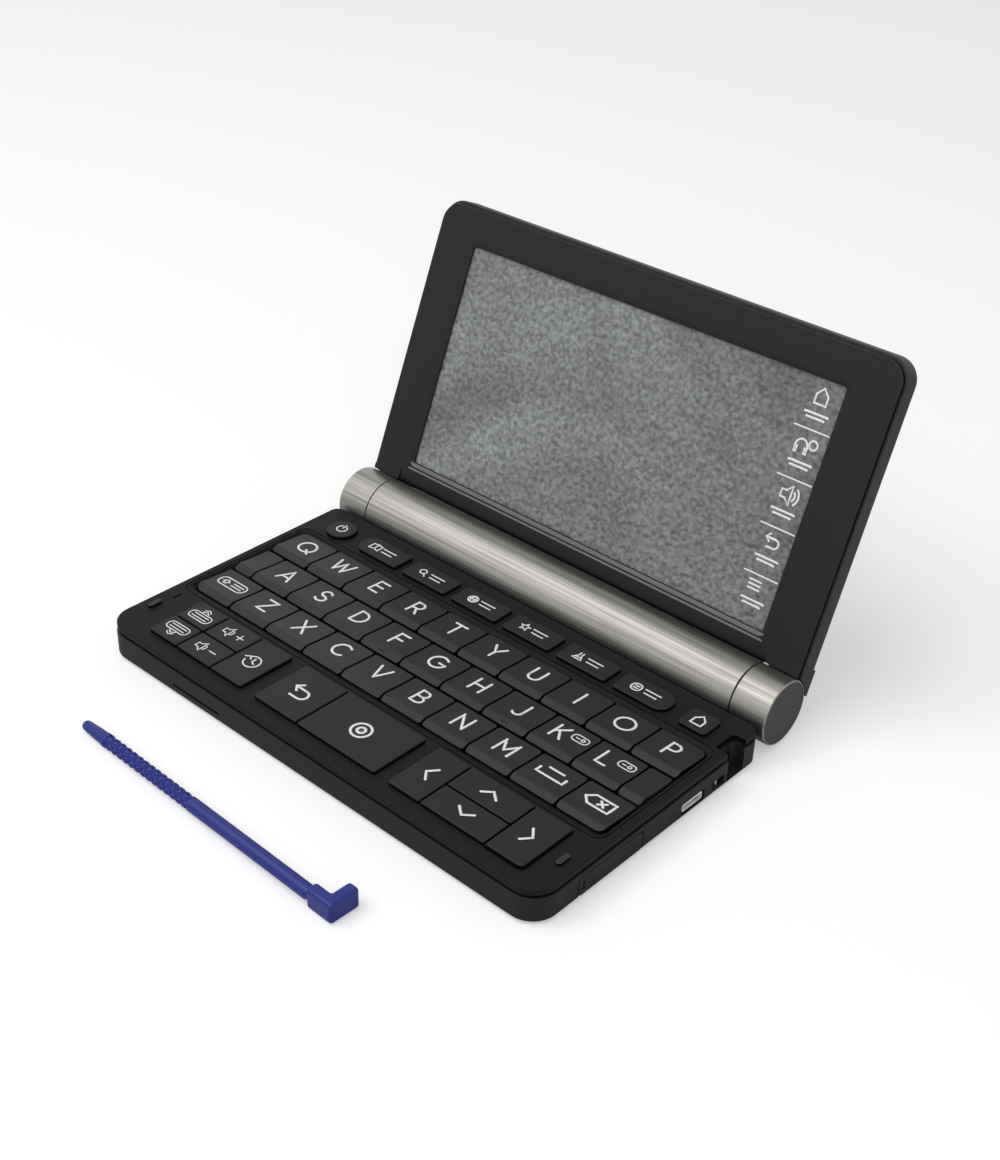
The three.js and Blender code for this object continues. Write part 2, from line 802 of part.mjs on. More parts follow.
// Middle of the barrel: fixed to the base by a saddle, hollow for two cells, bored for the hinge pins
function centreBarrel() {
  const tube = rodAlongX(-centreHalf, centreHalf, barrelRadius);
  const front = baseRear + seatGap - hingeY;
  const saddle = bar([
    new THREE.Vector2(front, saddleFloor - hingeZ),
    new THREE.Vector2(front + saddleDepth, saddleFloor - hingeZ),
    new THREE.Vector2(0, 0),
    new THREE.Vector2(front, deckTop - hingeZ),
  ], -centreHalf, centreHalf);
  const pinBore = pinRadius + pinClearance;
  const boreDepth = pinLength + seatGap;
  const bores = [
    rodAlongX(-centreHalf - overrun, -centreHalf + boreDepth, pinBore, barrelSteps / 2),
    rodAlongX(centreHalf - boreDepth, centreHalf + overrun, pinBore, barrelSteps / 2),
  ];
  const whole = cut(joined([tube, saddle]), [
    rodAlongX(-bayHalf, bayHalf, bayRadius),
    wedge(doorHalfAngle, bayHalf),
    ...bores,
  ]);
  return moved(whole, 0, hingeY, hingeZ);
}

function batteryCover() {
  const edgeGap = seatGap / barrelRadius;
  const ring = cut(rodAlongX(-bayHalf + seatGap, bayHalf - seatGap, barrelRadius), [
    rodAlongX(-bayHalf - overrun, bayHalf + overrun, bayRadius),
  ]);
  return moved(ring.intersect(wedge(doorHalfAngle - edgeGap, bayHalf)), 0, hingeY, hingeZ);
}

// Two cells that lie end to end, each with its small pole on the right
function batteryPair() {
  const cell = [
    [0, 0],
    [0, cellRadius],
    [cellLength - cellPoleLength, cellRadius],
    [cellLength - cellPoleLength, cellPoleRadius],
    [cellLength, cellPoleRadius],
    [cellLength, 0],
  ];
  const steps = barrelSteps / 2;
  const left = turnedAlongX(cell.map(([x, radius]) => [x - cellLength, radius]), steps);
  const right = turnedAlongX(cell, steps);
  const contact = rodAlongX(-cellPoleLength / 2, cellPoleLength / 2, cellPoleRadius / 2, steps);
  return moved(joined([left, right, contact]), 0, hingeY, hingeZ);
}

// End of the barrel that turns with the lid: a drum, the pin it turns on and the tab that the lid grips
function hingeKnuckle(side) {
  const end = halfWidth + knuckleOverhang;
  const profile = [
    [knuckleStart - pinLength, 0],
    [knuckleStart - pinLength, pinRadius],
    [knuckleStart, pinRadius],
    [knuckleStart, barrelRadius],
    [end - knuckleEdge, barrelRadius],
    [end, barrelRadius - knuckleEdge],
    [end, 0],
  ];
  const drum = turnedAlongX(profile.map(([x, radius]) => [side * x, radius]), barrelSteps);
  const tab = tabBox(0);
  const solid = joined([drum, side > 0 ? tab : tab.mirror([1, 0, 0])]);
  return solid;
}

// Tab of the right end, in the lid's own directions, grown by a clearance
function tabBox(grow) {
  const x0 = knuckleStart + (knuckleLength - tabWidth) / 2;
  const low = lidBack + tabBackSkin;
  return box(x0 - grow, x0 + tabWidth + grow, barrelRadius / 2, lidFoot + tabLength + grow,
    low - grow, low + tabThickness + grow);
}

// Space that the turning ends of the barrel need inside the lid's ears
function drumSpace() {
  return rodAlongX(-halfWidth - overrun, halfWidth + overrun, barrelRadius + seatGap);
}

function ears(low, high, start, sideInset) {
  const x0 = knuckleStart + seatGap / 2;
  const x1 = halfWidth - sideInset;
  return [
    box(x0, x1, start, lidFoot + lidFootRadius, low, high),
    box(-x1, -x0, start, lidFoot + lidFootRadius, low, high),
  ];
}

// Back shell of the lid: rounded back, a pocket for the screen and ears that reach down to the barrel ends
function lidBackCover() {
  const rings = lidRoundShares.map(([depthShare, insetShare]) => {
    const by = insetShare * lidCornerRadius;
    const plan = { x0: -halfWidth + by, x1: halfWidth - by, y0: lidFoot, y1: lidHead - by };
    const head = lidCornerRadius - by / 2;
    return [
      roundedOutline(plan, [head, head, lidFootRadius, lidFootRadius], 2 * arcSteps),
      shellRim + depthShare * (lidBack - shellRim),
    ];
  }).reverse();
  const hollow = prism(roundedOutline(
    { x0: -halfWidth + lidWall, x1: halfWidth - lidWall, y0: lidFoot + lidWall, y1: lidHead - lidWall },
    [lidCornerRadius - lidWall, lidCornerRadius - lidWall, lidFootRadius, lidFootRadius],
  ), lidBack + lidSkin, shellRim + overrun);
  const body = joined([cut(loft(rings), [hollow]), ...ears(lidBack, shellRim, earStart, 0), panelFrame()]);
  const tab = tabBox(seatGap);
  return cut(body, [drumSpace(), tab, tab.mirror([1, 0, 0])]);
}

// Low rib on the back shell that holds the screen sideways
function panelFrame() {
  const inner = panelBox(seatGap);
  const outer = inset(inner, -panelRib);
  return cut(box(outer.x0, outer.x1, outer.y0, outer.y1, lidBack + lidSkin / 2, shellRim - seatGap), [
    box(inner.x0, inner.x1, inner.y0, inner.y1, lidBack, shellRim + overrun),
  ]);
}

function panelBox(grow) {
  return inset({ x0: -glassHalf, x1: glassHalf, y0: glassFoot, y1: glassHead }, -panelBorder - grow);
}

// Front frame of the lid with its bevelled window
function lidBezel() {
  const plan = (by) => {
    const outline = {
      x0: -halfWidth + bezelSideInset + by,
      x1: halfWidth - bezelSideInset - by,
      y0: lidFoot,
      y1: lidHead - bezelTopInset - by,
    };
    const head = lidCornerRadius - bezelSideInset - by;
    return roundedOutline(outline, [head, head, lidFootRadius, lidFootRadius], 2 * arcSteps);
  };
  const frame = loft([
    [plan(0), bezelBack],
    [plan(0), bezelFace - bezelEdge],
    [plan(bezelEdge / 4), bezelFace - bezelEdge / 4],
    [plan(bezelEdge), bezelFace],
  ]);
  const window = (by) => roundedOutline(
    inset({ x0: -glassHalf, x1: glassHalf, y0: glassFoot, y1: glassHead }, -by),
    sameRadii(screenCornerRadius + by),
  );
  const opening = loft([
    [window(0), bezelBack - overrun],
    [window(0), bezelBack + deckEdge],
    [window(screenBevel), bezelFace],
    [window(screenBevel), bezelFace + overrun],
  ]);
  return cut(joined([frame, ...ears(bezelBack, bezelFace, barrelRadius - bezelThickness, bezelSideInset)]),
    [drumSpace(), opening]);
}

function displayPanel() {
  const panel = panelBox(0);
  return box(panel.x0, panel.x1, panel.y0, panel.y1, shellRim - panelThickness, shellRim);
}

// Shaft of the stylus lies along X with its tip on the left; the head is a hook-shaped plate
function stylusBody() {
  const shaftEnd = stylusLength - headLength / 2;
  const shaft = turnedAlongX([
    [0, 0],
    ...tipRoundShares.map(([along, across]) => [tipRadius * along, tipRadius * across]),
    [tipLength, shaftRadius],
    [gripStartShare * stylusLength, shaftRadius],
    [gripStartShare * stylusLength + tipRadius, gripRadius],
    [gripEndShare * stylusLength, gripRadius],
    [gripEndShare * stylusLength + tipRadius, shaftRadius],
    [shaftEnd, shaftRadius],
    [shaftEnd, 0],
  ], barrelSteps / 2);
  const front = -headThickness / 2;
  const outline = (by) => {
    const x0 = stylusLength - headLength + by;
    const x1 = stylusLength - by;
    const y0 = front + by;
    const y1 = -front - by;
    const armX = stylusLength - headThickness + by;
    const round = headCorner;
    return [
      new THREE.Vector2(x0, y0 + round / 2),
      new THREE.Vector2(x0 + round / 2, y0),
      new THREE.Vector2(x1 - round, y0),
      new THREE.Vector2(x1 - round / 3, y0 + round / 3),
      new THREE.Vector2(x1, y0 + round),
      new THREE.Vector2(x1, -front + headReach - by - round / 3),
      new THREE.Vector2(x1 - round / 3, -front + headReach - by),
      new THREE.Vector2(armX + round / 3, -front + headReach - by),
      new THREE.Vector2(armX, -front + headReach - by - round / 3),
      new THREE.Vector2(armX, y1 + round / 3),
      new THREE.Vector2(armX - round / 3, y1),
      new THREE.Vector2(x0, y1),
    ];
  };
  const half = headHeight / 2;
  const head = loft([
    [outline(headEdge), -half],
    [outline(headEdge / 4), -half + headEdge / 4],
    [outline(0), -half + headEdge],
    [outline(0), half - headEdge],
    [outline(headEdge / 4), half - headEdge / 4],
    [outline(headEdge), half],
  ]);
  return joined([shaft, head]);
}

function base() {
  const group = new THREE.Group();
  group.add(piece('bottom_case', bottomCase(), 'body'));
  group.add(piece('keyboard_deck', keyboardDeck(), 'deck'));
  group.add(...allKeys());
  group.add(piece('centre_barrel', centreBarrel(), 'barrel'));
  group.add(piece('battery_cover', batteryCover(), 'barrel'));
  group.add(piece('battery_pair', batteryPair(), 'cell'));
  group.add(piece('card_slot_cover', cardSlotCover(), 'cover'));
  return group;
}

// The lid is drawn with Y up the screen and Z towards the user, then turned about the hinge axis
function lid() {
  const group = new THREE.Group();
  group.position.set(0, hingeY, hingeZ);
  group.rotation.x = lidOpenAngle;
  group.add(piece('lid_back_cover', lidBackCover(), 'body'));
  group.add(piece('lid_bezel', lidBezel(), 'bezel'));
  group.add(piece('display_panel', displayPanel(), 'glass'));
  group.add(piece('left_hinge_knuckle', hingeKnuckle(-1), 'barrelEnd'));
  group.add(piece('right_hinge_knuckle', hingeKnuckle(1), 'barrelEnd'));
  return group;
}

// The stylus rests on the table on the foot of its point and on the lower edge of its head
function stylus() {
  const group = new THREE.Group();
  const lean = Math.asin((headHeight / 2 - shaftRadius) / (stylusLength - headLength - tipLength));
  group.position.set(
    stylusTipShare * halfWidth,
    baseFront - stylusSetOut,
    shaftRadius * Math.cos(lean) - tipLength * Math.sin(lean) - footHeight,
  );
  group.rotation.set(0, -lean, stylusTurn, 'ZYX');
  group.add(piece('stylus', stylusBody(), 'stylus'));
  return group;
}

const dictionary = new THREE.Group();
dictionary.add(base(), lid(), stylus());

export default dictionary;
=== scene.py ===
# %% [markdown]
# # A pocket electronic dictionary
#
# This lesson dresses a clamshell dictionary in cells: a keyboard base, a metal barrel that is
# hinge and battery tube in one, a lid with a screen, and a blue stylus that lies on the table. The
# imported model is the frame. It says where every part is, how big it is and what moves with what.
# Each cell makes one piece or one finish in the same place, so that nothing has to be fitted
# afterwards.

import json
import math

import bmesh
import bpy
from mathutils import Matrix, Vector


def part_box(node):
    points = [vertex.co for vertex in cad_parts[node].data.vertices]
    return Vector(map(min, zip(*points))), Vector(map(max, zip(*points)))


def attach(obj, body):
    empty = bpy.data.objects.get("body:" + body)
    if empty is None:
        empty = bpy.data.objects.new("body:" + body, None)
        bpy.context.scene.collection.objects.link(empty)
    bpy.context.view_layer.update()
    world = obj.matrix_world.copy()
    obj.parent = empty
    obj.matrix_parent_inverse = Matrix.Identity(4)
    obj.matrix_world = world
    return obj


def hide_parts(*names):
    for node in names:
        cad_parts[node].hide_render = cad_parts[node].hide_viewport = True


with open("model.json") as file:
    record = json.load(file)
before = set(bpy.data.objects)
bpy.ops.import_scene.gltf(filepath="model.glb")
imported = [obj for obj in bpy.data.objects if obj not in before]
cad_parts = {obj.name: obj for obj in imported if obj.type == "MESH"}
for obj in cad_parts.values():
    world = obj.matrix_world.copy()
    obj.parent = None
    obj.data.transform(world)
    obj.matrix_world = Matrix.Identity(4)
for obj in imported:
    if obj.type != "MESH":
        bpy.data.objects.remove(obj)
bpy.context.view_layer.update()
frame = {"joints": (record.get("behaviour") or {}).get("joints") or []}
scene = bpy.context.scene

# %% [markdown]
# ## Sizes
#
# Blender works in metres here, and a maker of small electronics thinks in millimetres. The lesson
# gives every size in millimetres and turns it into metres in one place, where a mesh is made. What
# the frame already knows is read from it, so that no size is written twice.

# %% Millimetres, and boxes read from the frame
MM = 0.001


class Box:
    """A node's box in millimetres: x0 to x1, y0 to y1 and z0 to z1."""

    def __init__(self, node):
        low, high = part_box(node)
        self.x0, self.y0, self.z0 = (value / MM for value in low)
        self.x1, self.y1, self.z1 = (value / MM for value in high)


case = Box("bottom_case")
deck = Box("keyboard_deck")
centre = Box("centre_barrel")
right_drum = Box("right_hinge_knuckle")
lid_joint = next(j for j in frame["joints"] if j["name"] == "lid_hinge")
HINGE_Y, HINGE_Z = (value / MM for value in lid_joint["pos_m"][1:])
print("base", round(case.x1 - case.x0, 2), "by", round(case.y1 - case.y0, 2), "mm")
print("hinge at y", HINGE_Y, "z", HINGE_Z)

# %% Heights and fits of the base
DECK_TOP = 9.4
DECK_FOOT = 7.8
DECK_EDGE = 0.35
RIM_TOP = 6.8
NECK_INSET = 0.9
CASE_ROUND = 0.8
FRONT_ROUND = 7.0
REAR_ROUND = 3.0
GRID_TOP = 6.5
GRID_THICK = 1.0
CASE_FLOOR = 3.0
CASE_WALL = 2.2
KEY_GAP = 0.3
OVERRUN = 3.0
BARREL_RADIUS = HINGE_Z - right_drum.z0
CENTRE_HALF = centre.x1
FIELD_ROUND = 2.0
CAP_ROUND = 0.8
print("barrel radius", round(BARREL_RADIUS, 2), "and half length", round(CENTRE_HALF, 2))

# %% [markdown]
# ## Camera
#
# The photograph is taken from the front right and above. Seven numbers describe such a view: where
# the camera stands, how it turns about the vertical, how far it looks down, how it rolls, and its
# lens. The sensor's 36 mm are put on the long side, because the picture stands upright.

# %% Place the camera
CAMERA_PLACE = (238.56, -252.84, 257.18)
CAMERA_TURN = 41.24
CAMERA_DROP = 32.84
CAMERA_ROLL = 2.14
CAMERA_LENS = 52.57
SENSOR = 36


def new_object(name, data):
    made = bpy.data.objects.new(name, data)
    scene.collection.objects.link(made)
    return made


def turn_about(axis, degrees):
    return Matrix.Rotation(math.radians(degrees), 4, axis)


def shift_by(x, y, z):
    """A move given in millimetres."""
    return Matrix.Translation((x * MM, y * MM, z * MM))


def place_camera():
    data = bpy.data.cameras.new("camera")
    data.sensor_fit = "VERTICAL"
    data.sensor_height = SENSOR
    data.lens = CAMERA_LENS
    data.clip_start = 0.01
    camera = new_object("camera", data)
    place = Matrix.Translation(Vector(CAMERA_PLACE) * MM)
    aim = turn_about("Z", CAMERA_TURN) @ turn_about("X", 90 - CAMERA_DROP)
    camera.matrix_world = place @ aim @ turn_about("Z", CAMERA_ROLL)
    return camera


scene.camera = place_camera()
print("camera is", round(scene.camera.location.length, 3), "m from the origin")

# %% [markdown]
# ## Writing node trees
#
# Light, finishes and repeats are all node trees. One small class writes them: it adds a node with
# its settings and, in the same call, links each input or writes a plain value on it. Its other
# methods are the few steps that come back in every tree.

# %% Tree builder


class Builder:
    """Writes a node tree from its sources to its results."""

    def __init__(self, tree):
        self.tree = tree

    def feed(self, socket, value):
        """Links an output to the socket, or writes a plain value on it."""
        if isinstance(value, bpy.types.NodeSocket):
            self.tree.links.new(value, socket)
        else:
            socket.default_value = value

    def add(self, kind, inputs=None, **settings):
        """A new node with its settings, and with an output or a value for each named input."""
        made = self.tree.nodes.new(kind)
        for name, value in settings.items():
            setattr(made, name, value)
        for socket, value in (inputs or {}).items():
            self.feed(made.inputs[socket], value)
        return made

    def math(self, operation, first, second=None, clamp=False):
        inputs = {0: first} if second is None else {0: first, 1: second}
        return self.add("ShaderNodeMath", inputs, operation=operation, use_clamp=clamp).outputs[0]

    def swing(self, value, middle, share, base):
        """A value's distance from its middle, scaled by a share and added to a base."""
        off = self.math("SUBTRACT", value, middle)
        return self.math("ADD", self.math("MULTIPLY", off, share), base)

    def remap(self, value, low, high, to_low, to_high):
        spans = {"From Min": low, "From Max": high, "To Min": to_low, "To Max": to_high}
        return self.add("ShaderNodeMapRange", {"Value": value, **spans}).outputs["Result"]

    def object_place(self, stretch=(1, 1, 1)):
        """Object coordinates through a Mapping node."""
        where = self.add("ShaderNodeTexCoord").outputs["Object"]
        return self.add("ShaderNodeMapping", {"Vector": where, "Scale": stretch}).outputs["Vector"]

    def noise(self, place, scale, detail, distortion=0.0):
        inputs = {"Vector": place, "Scale": scale, "Detail": detail, "Distortion": distortion}
        return self.add("ShaderNodeTexNoise", inputs).outputs["Fac"]

    def cells(self, place, scale, feature="F1"):
        inputs = {"Vector": place, "Scale": scale}
        return self.add("ShaderNodeTexVoronoi", inputs, feature=feature).outputs["Distance"]

    def mix(self, first, second, factor, blend="MIX"):
        inputs = {"Factor": factor, "A": first, "B": second}
        made = self.add("ShaderNodeMix", inputs, data_type="RGBA", blend_type=blend)
        return made.outputs["Result"]

    def relief(self, shader, height, strength, distance):
        """Raises the surface of a shader by a height."""
        inputs = {"Height": height, "Strength": strength, "Distance": distance}
        self.feed(shader["Normal"], self.add("ShaderNodeBump", inputs).outputs["Normal"])

    def group(self, group, **values):
        """The outputs of a group; a value goes to the input of that name."""
        inputs = {name.replace("_", " ").title(): value for name, value in values.items()}
        return self.add("ShaderNodeGroup", inputs, node_tree=group).outputs


def new_group(kind, name, inputs, outputs):
    """A group's builder, sources and targets; a socket is given by its type or by a first value."""
    tree = bpy.data.node_groups.new(name, kind)
    for direction, sockets in (("INPUT", inputs), ("OUTPUT", outputs)):
        for socket, value in sockets.items():
            typed = value if isinstance(value, str) else "Float"
            if isinstance(value, tuple):
                typed = "Color"
            kind_name = f"NodeSocket{typed}"
            made = tree.interface.new_socket(socket, in_out=direction, socket_type=kind_name)
            if typed != value:
                made.default_value = value
    source, target = (tree.nodes.new(f"NodeGroup{end}") for end in ("Input", "Output"))
    return Builder(tree), source.outputs, target.inputs


# %% [markdown]
# ## Light, floor and background
#
# The object stands on a plain white table. Soft lamps from above light it at a level at which a
# colour comes out about as it is written. What the camera, a gloss or a clear part sees behind it
# is white, and only the floor's own colour and the background give that white: the lamps stay low,
# so that the dark plastic keeps its charcoal and the table keeps the object's shadow.

# %% Studio
WORLD_LIGHT = 0.35
FLOOR_COLOUR = (0.8, 0.8, 0.8, 1)
FLOOR_GLOW = 0.36
FLOOR_HALF = 6
WHITE = (1, 1, 1, 1)


def white_world():
    """White where it is seen, and a weaker light on all that it only lights."""
    world = bpy.data.worlds.new("studio")
    world.use_nodes = True
    scene.world = world
    build = Builder(world.node_tree)
    background = world.node_tree.nodes["Background"].inputs
    rays = build.add("ShaderNodeLightPath").outputs
    seen = build.math("MAXIMUM", rays["Is Camera Ray"], rays["Is Glossy Ray"])
    seen = build.math("MAXIMUM", seen, rays["Is Transmission Ray"])
    build.feed(background["Color"], WHITE)
    build.feed(background["Strength"], build.remap(seen, 0, 1, WORLD_LIGHT, 1.0))


def lamp(name, place, size, power):
    """A round lamp that looks at the origin."""
    data = bpy.data.lights.new(name, "AREA")
    data.shape = "DISK"
    data.size = size
    data.energy = power
    light = new_object(name, data)
    light.location = place
    light.rotation_euler = (-Vector(place)).to_track_quat("-Z", "Y").to_euler()


def white_floor():
    bm = bmesh.new()
    bmesh.ops.create_grid(bm, x_segments=1, y_segments=1, size=FLOOR_HALF)
    mesh = bpy.data.meshes.new("floor")
    bm.to_mesh(mesh)
    bm.free()
    mesh.transform(shift_by(0, 0, case.z0))
    floor = new_object("floor", mesh)
    material = bpy.data.materials.new("white_table")
    material.use_nodes = True
    nodes = material.node_tree.nodes
    nodes.remove(nodes["Principled BSDF"])
    build = Builder(material.node_tree)
    seen = build.add("ShaderNodeLightPath").outputs["Is Camera Ray"]
    matt = build.add("ShaderNodeBsdfDiffuse", {"Color": FLOOR_COLOUR})
    glow = build.add("ShaderNodeEmission", {"Strength": build.math("MULTIPLY", seen, FLOOR_GLOW)})
    both = build.add("ShaderNodeAddShader", {0: matt.outputs[0], 1: glow.outputs[0]})
    build.feed(nodes["Material Output"].inputs["Surface"], both.outputs[0])
    floor.data.materials.append(material)


white_world()
white_floor()
lamp("key_lamp", (-0.3, -0.55, 1.15), 1.3, 9.0)
lamp("fill_lamp", (0.8, -0.8, 0.9), 0.8, 3.0)
scene.view_settings.view_transform = "Standard"
print("world light", WORLD_LIGHT, "and floor glow", FLOOR_GLOW)

# %% [markdown]
# ## Shared effects
#
# Moulded plastic isn't a flat colour. Its tool was etched, which leaves a fine grain, and handling
# polishes it a little here and there. Its rounded edges get a painted highlight, a brighter tone of
# the colour that stands in for the light they catch. Three small node groups make these effects once.
# Each gives back only a colour, a mask or a height, and every material mixes them in its own amount.

# %% Etched grain, handling marks and painted edge highlights
GRAIN_SCALE = 5200.0
PATCH_SCALE = 140.0
SMEAR_SCALE = 60.0
EDGE_HIGHLIGHT_RADIUS = 0.0002
EDGE_HIGHLIGHT_GAIN = 6.0


def make_grain():
    inputs = {"Scale": GRAIN_SCALE, "Depth": 1.0, "Colour Spread": 0.12}
    build, source, target = new_group(
        "ShaderNodeTree", "etched_grain", inputs, {"Height": "Float", "Tone": "Float"}
    )
    place = build.object_place()
    fine = build.noise(place, source["Scale"], 2.0)
    height = build.math("ADD", fine, build.cells(place, source["Scale"]))
    build.feed(target["Height"], build.math("MULTIPLY", height, source["Depth"]))
    patches = build.noise(place, PATCH_SCALE, 3.0)
    build.feed(target["Tone"], build.swing(patches, 0.5, source["Colour Spread"], 1.0))
    return build.tree


def make_handling():
    inputs = {"Roughness": 0.5, "Spread": 0.15}
    outputs = {"Roughness": "Float"}
    build, source, target = new_group("ShaderNodeTree", "handling_marks", inputs, outputs)
    smears = build.noise(build.object_place(), SMEAR_SCALE, 4.0, 0.8)
    build.feed(target["Roughness"], build.swing(smears, 0.5, source["Spread"], source["Roughness"]))
    return build.tree


def make_edge_highlight():
    """Mask of the painted edge highlight: white where the normal of a rounded edge leaves the plain one.
    """
    inputs = {"Radius": EDGE_HIGHLIGHT_RADIUS, "Gain": EDGE_HIGHLIGHT_GAIN}
    build, source, target = new_group("ShaderNodeTree", "edge_polish", inputs, {"Mask": "Float"})
    rounded_edge = build.add("ShaderNodeBevel", {"Radius": source["Radius"]}, samples=4)
    plain = build.add("ShaderNodeNewGeometry")
    normals = {0: rounded_edge.outputs["Normal"], 1: plain.outputs["Normal"]}
    agree = build.add("ShaderNodeVectorMath", normals, operation="DOT_PRODUCT").outputs["Value"]
    differ = build.math("SUBTRACT", 1.0, agree)
    build.feed(target["Mask"], build.math("MULTIPLY", differ, source["Gain"], clamp=True))
    return build.tree


grain_group = make_grain()
handling_group = make_handling()
edge_highlight_group = make_edge_highlight()
print("shared effects:", grain_group.name, handling_group.name, edge_highlight_group.name)

# %% [markdown]
# ## Moulded plastics
#
# Case, deck, keys, bezel and lid are all black ABS with an etched grain, but they don't look the
# same: the keys are a little greyer and smoother than the case. One function builds the plastic,
# and each part calls it with its own colour, roughness and depth of grain.

# %% Plastic materials
GRAIN_RELIEF = 0.0001
HIGHLIGHT_COLOUR_GAIN = 4
HIGHLIGHT_COLOUR_LEAST = 0.03


def new_material(name, values):
    """A material, its builder and the sockets of its shader, some with a plain value."""
    material = bpy.data.materials.new(name)
    material.use_nodes = True
    shader = material.node_tree.nodes["Principled BSDF"].inputs
    for socket, value in values.items():
        shader[socket].default_value = value
    return material, Builder(material.node_tree), shader


def plastic(name, colour, roughness, depth=1.0, spread=0.12, specular=0.35, edge=0.35, bump=0.06):
    """Grained plastic with a painted highlight: its edges turn to a brighter tone of its colour, by the
    share called edge.
    """
    material, build, shader = new_material(name, {"Specular IOR Level": specular})
    grain = build.group(grain_group, depth=depth, colour_spread=spread)
    marks = build.group(handling_group, roughness=roughness)
    edge_highlight = build.group(edge_highlight_group)
    base = build.mix((*colour, 1), grain["Tone"], 1.0, "MULTIPLY")
    # Painted highlight: the brighter tone of the colour that the rounded edges take.
    bright = (*[min(1, value * HIGHLIGHT_COLOUR_GAIN + HIGHLIGHT_COLOUR_LEAST) for value in colour], 1)
    lit = build.mix(base, bright, build.math("MULTIPLY", edge_highlight["Mask"], edge))
    build.feed(shader["Base Color"], lit)
    build.feed(shader["Roughness"], marks["Roughness"])
    build.relief(shader, grain["Height"], bump, GRAIN_RELIEF)
    return material


body_plastic = plastic("body_plastic", (0.010, 0.0107, 0.0113), 0.5, bump=0.12, specular=0.22)
shell_plastic = plastic("shell_plastic", (0.019, 0.020, 0.021), 0.5, bump=0.12, specular=0.3)
deck_plastic = plastic("deck_plastic", (0.010, 0.0107, 0.011), 0.5, specular=0.1)
key_plastic = plastic("key_plastic", (0.019, 0.0205, 0.0205), 0.42, spread=0.08, specular=0.24)
plate_key_plastic = plastic(
    "plate_key_plastic", (0.021, 0.0223, 0.0223), 0.45, spread=0.08, specular=0.15
)
bezel_plastic = plastic("bezel_plastic", (0.0125, 0.013, 0.013), 0.5, bump=0.1, specular=0.22)
# Near-black plastic for painted shade on walls in gaps and recesses.
inner_plastic = plastic("inner_plastic", (0.002, 0.002, 0.002), 0.9, edge=0.0, specular=0.05)
rubber = plastic("foot_rubber", (0.012, 0.012, 0.012), 0.85, depth=1.6, edge=0.0)
bumper_rubber = plastic("bumper_rubber", (0.022, 0.0225, 0.023), 0.6, depth=1.4, edge=0.3)
# Light grey: a painted highlight for the ledges under the screen.
ledge_plastic = plastic("ledge_plastic", (0.16, 0.16, 0.16), 0.35, edge=0.3, specular=0.5)
stylus_plastic = plastic(
    "stylus_plastic", (0.005, 0.014, 0.21), 0.34, depth=0.4, edge=0.1, specular=0.45
)
print("plastics:", sum(m.name.endswith("_plastic") for m in bpy.data.materials))

# %% [markdown]
# ## Brushed barrel
#
# The barrel is an aluminium tube, brushed along its length before it was anodised a warm grey.
# Brushing leaves long thin lines of different brightness. Noise that is stretched along X gives
# such lines: they are fine around the tube and nearly endless along it. They drive colour,
# roughness and a little relief.

# %% Metals
ALONG_SHARE = 0.012
FINE_LINES = 2600.0
BROAD_LINES = 700.0
METAL_RELIEF = 0.0002


def make_brushing():
    inputs = {"Across": FINE_LINES, "Contrast": 0.35}
    build, source, target = new_group(
        "ShaderNodeTree", "brushed_lines", inputs, {"Line": "Float", "Tone": "Float"}
    )
    place = build.object_place((ALONG_SHARE, 1, 1))
    fine = build.noise(place, source["Across"], 3.0)
    both = build.math("ADD", fine, build.noise(place, BROAD_LINES, 2.0))
    build.feed(target["Line"], both)
    build.feed(target["Tone"], build.swing(both, 1.0, source["Contrast"], 1.0))
    return build.tree


brushing_group = make_brushing()


def brushed_metal(name, colour, roughness, contrast, bump):
    material, build, shader = new_material(name, {"Metallic": 1.0})
    lines = build.group(brushing_group, contrast=contrast)
    marks = build.group(handling_group, roughness=roughness, spread=0.1)
    build.feed(shader["Base Color"], build.mix((*colour, 1), lines["Tone"], 1.0, "MULTIPLY"))
    build.feed(shader["Roughness"], marks["Roughness"])
    build.relief(shader, lines["Line"], bump, METAL_RELIEF)
    return material


barrel_metal = brushed_metal("barrel_metal", (0.31, 0.3, 0.28), 0.4, 1.1, 0.25)
end_metal = brushed_metal("end_metal", (0.085, 0.085, 0.084), 0.5, 0.2, 0.03)
steel = brushed_metal("plain_steel", (0.55, 0.55, 0.54), 0.25, 0.1, 0.02)
tinned = brushed_metal("tinned_steel", (0.9, 0.9, 0.88), 0.5, 0.1, 0.02)
print("metals:", barrel_metal.name, end_metal.name, steel.name, tinned.name)

# %% [markdown]
# ## Screen and print
#
# A soft film covers the screen. Its surface is pebbled like orange peel, and what it mirrors is
# broken up into a mottled grey. That mottle is a painted reflection in the colour: cloudy light and
# dark patches, light specks as painted glints, and a painted brightness that fades to the right, all
# over the grey of the switched-off screen. A bump of rounded cells makes the pebbles. The white soft
# keys and the letters are printed, so they are flat, matt and bright.

# %% Screen film with painted reflection, and print
PEBBLE_SCALE = 700.0
SWELL_SCALE = 260.0
CLOUD_SCALE = 16.0
GLINT_SCALE = 820.0
CLOUD_SPAN = (0.35, 0.65)
GLINT_SPAN = (0.3, 0.7)
REFLECTION_FADE_SPAN = (-0.06, 0.035)
REFLECTION_FADE_LEVEL = (1.2, 0.76)
FILM_RELIEF = 0.0005
INK_SPECKS = 4000.0


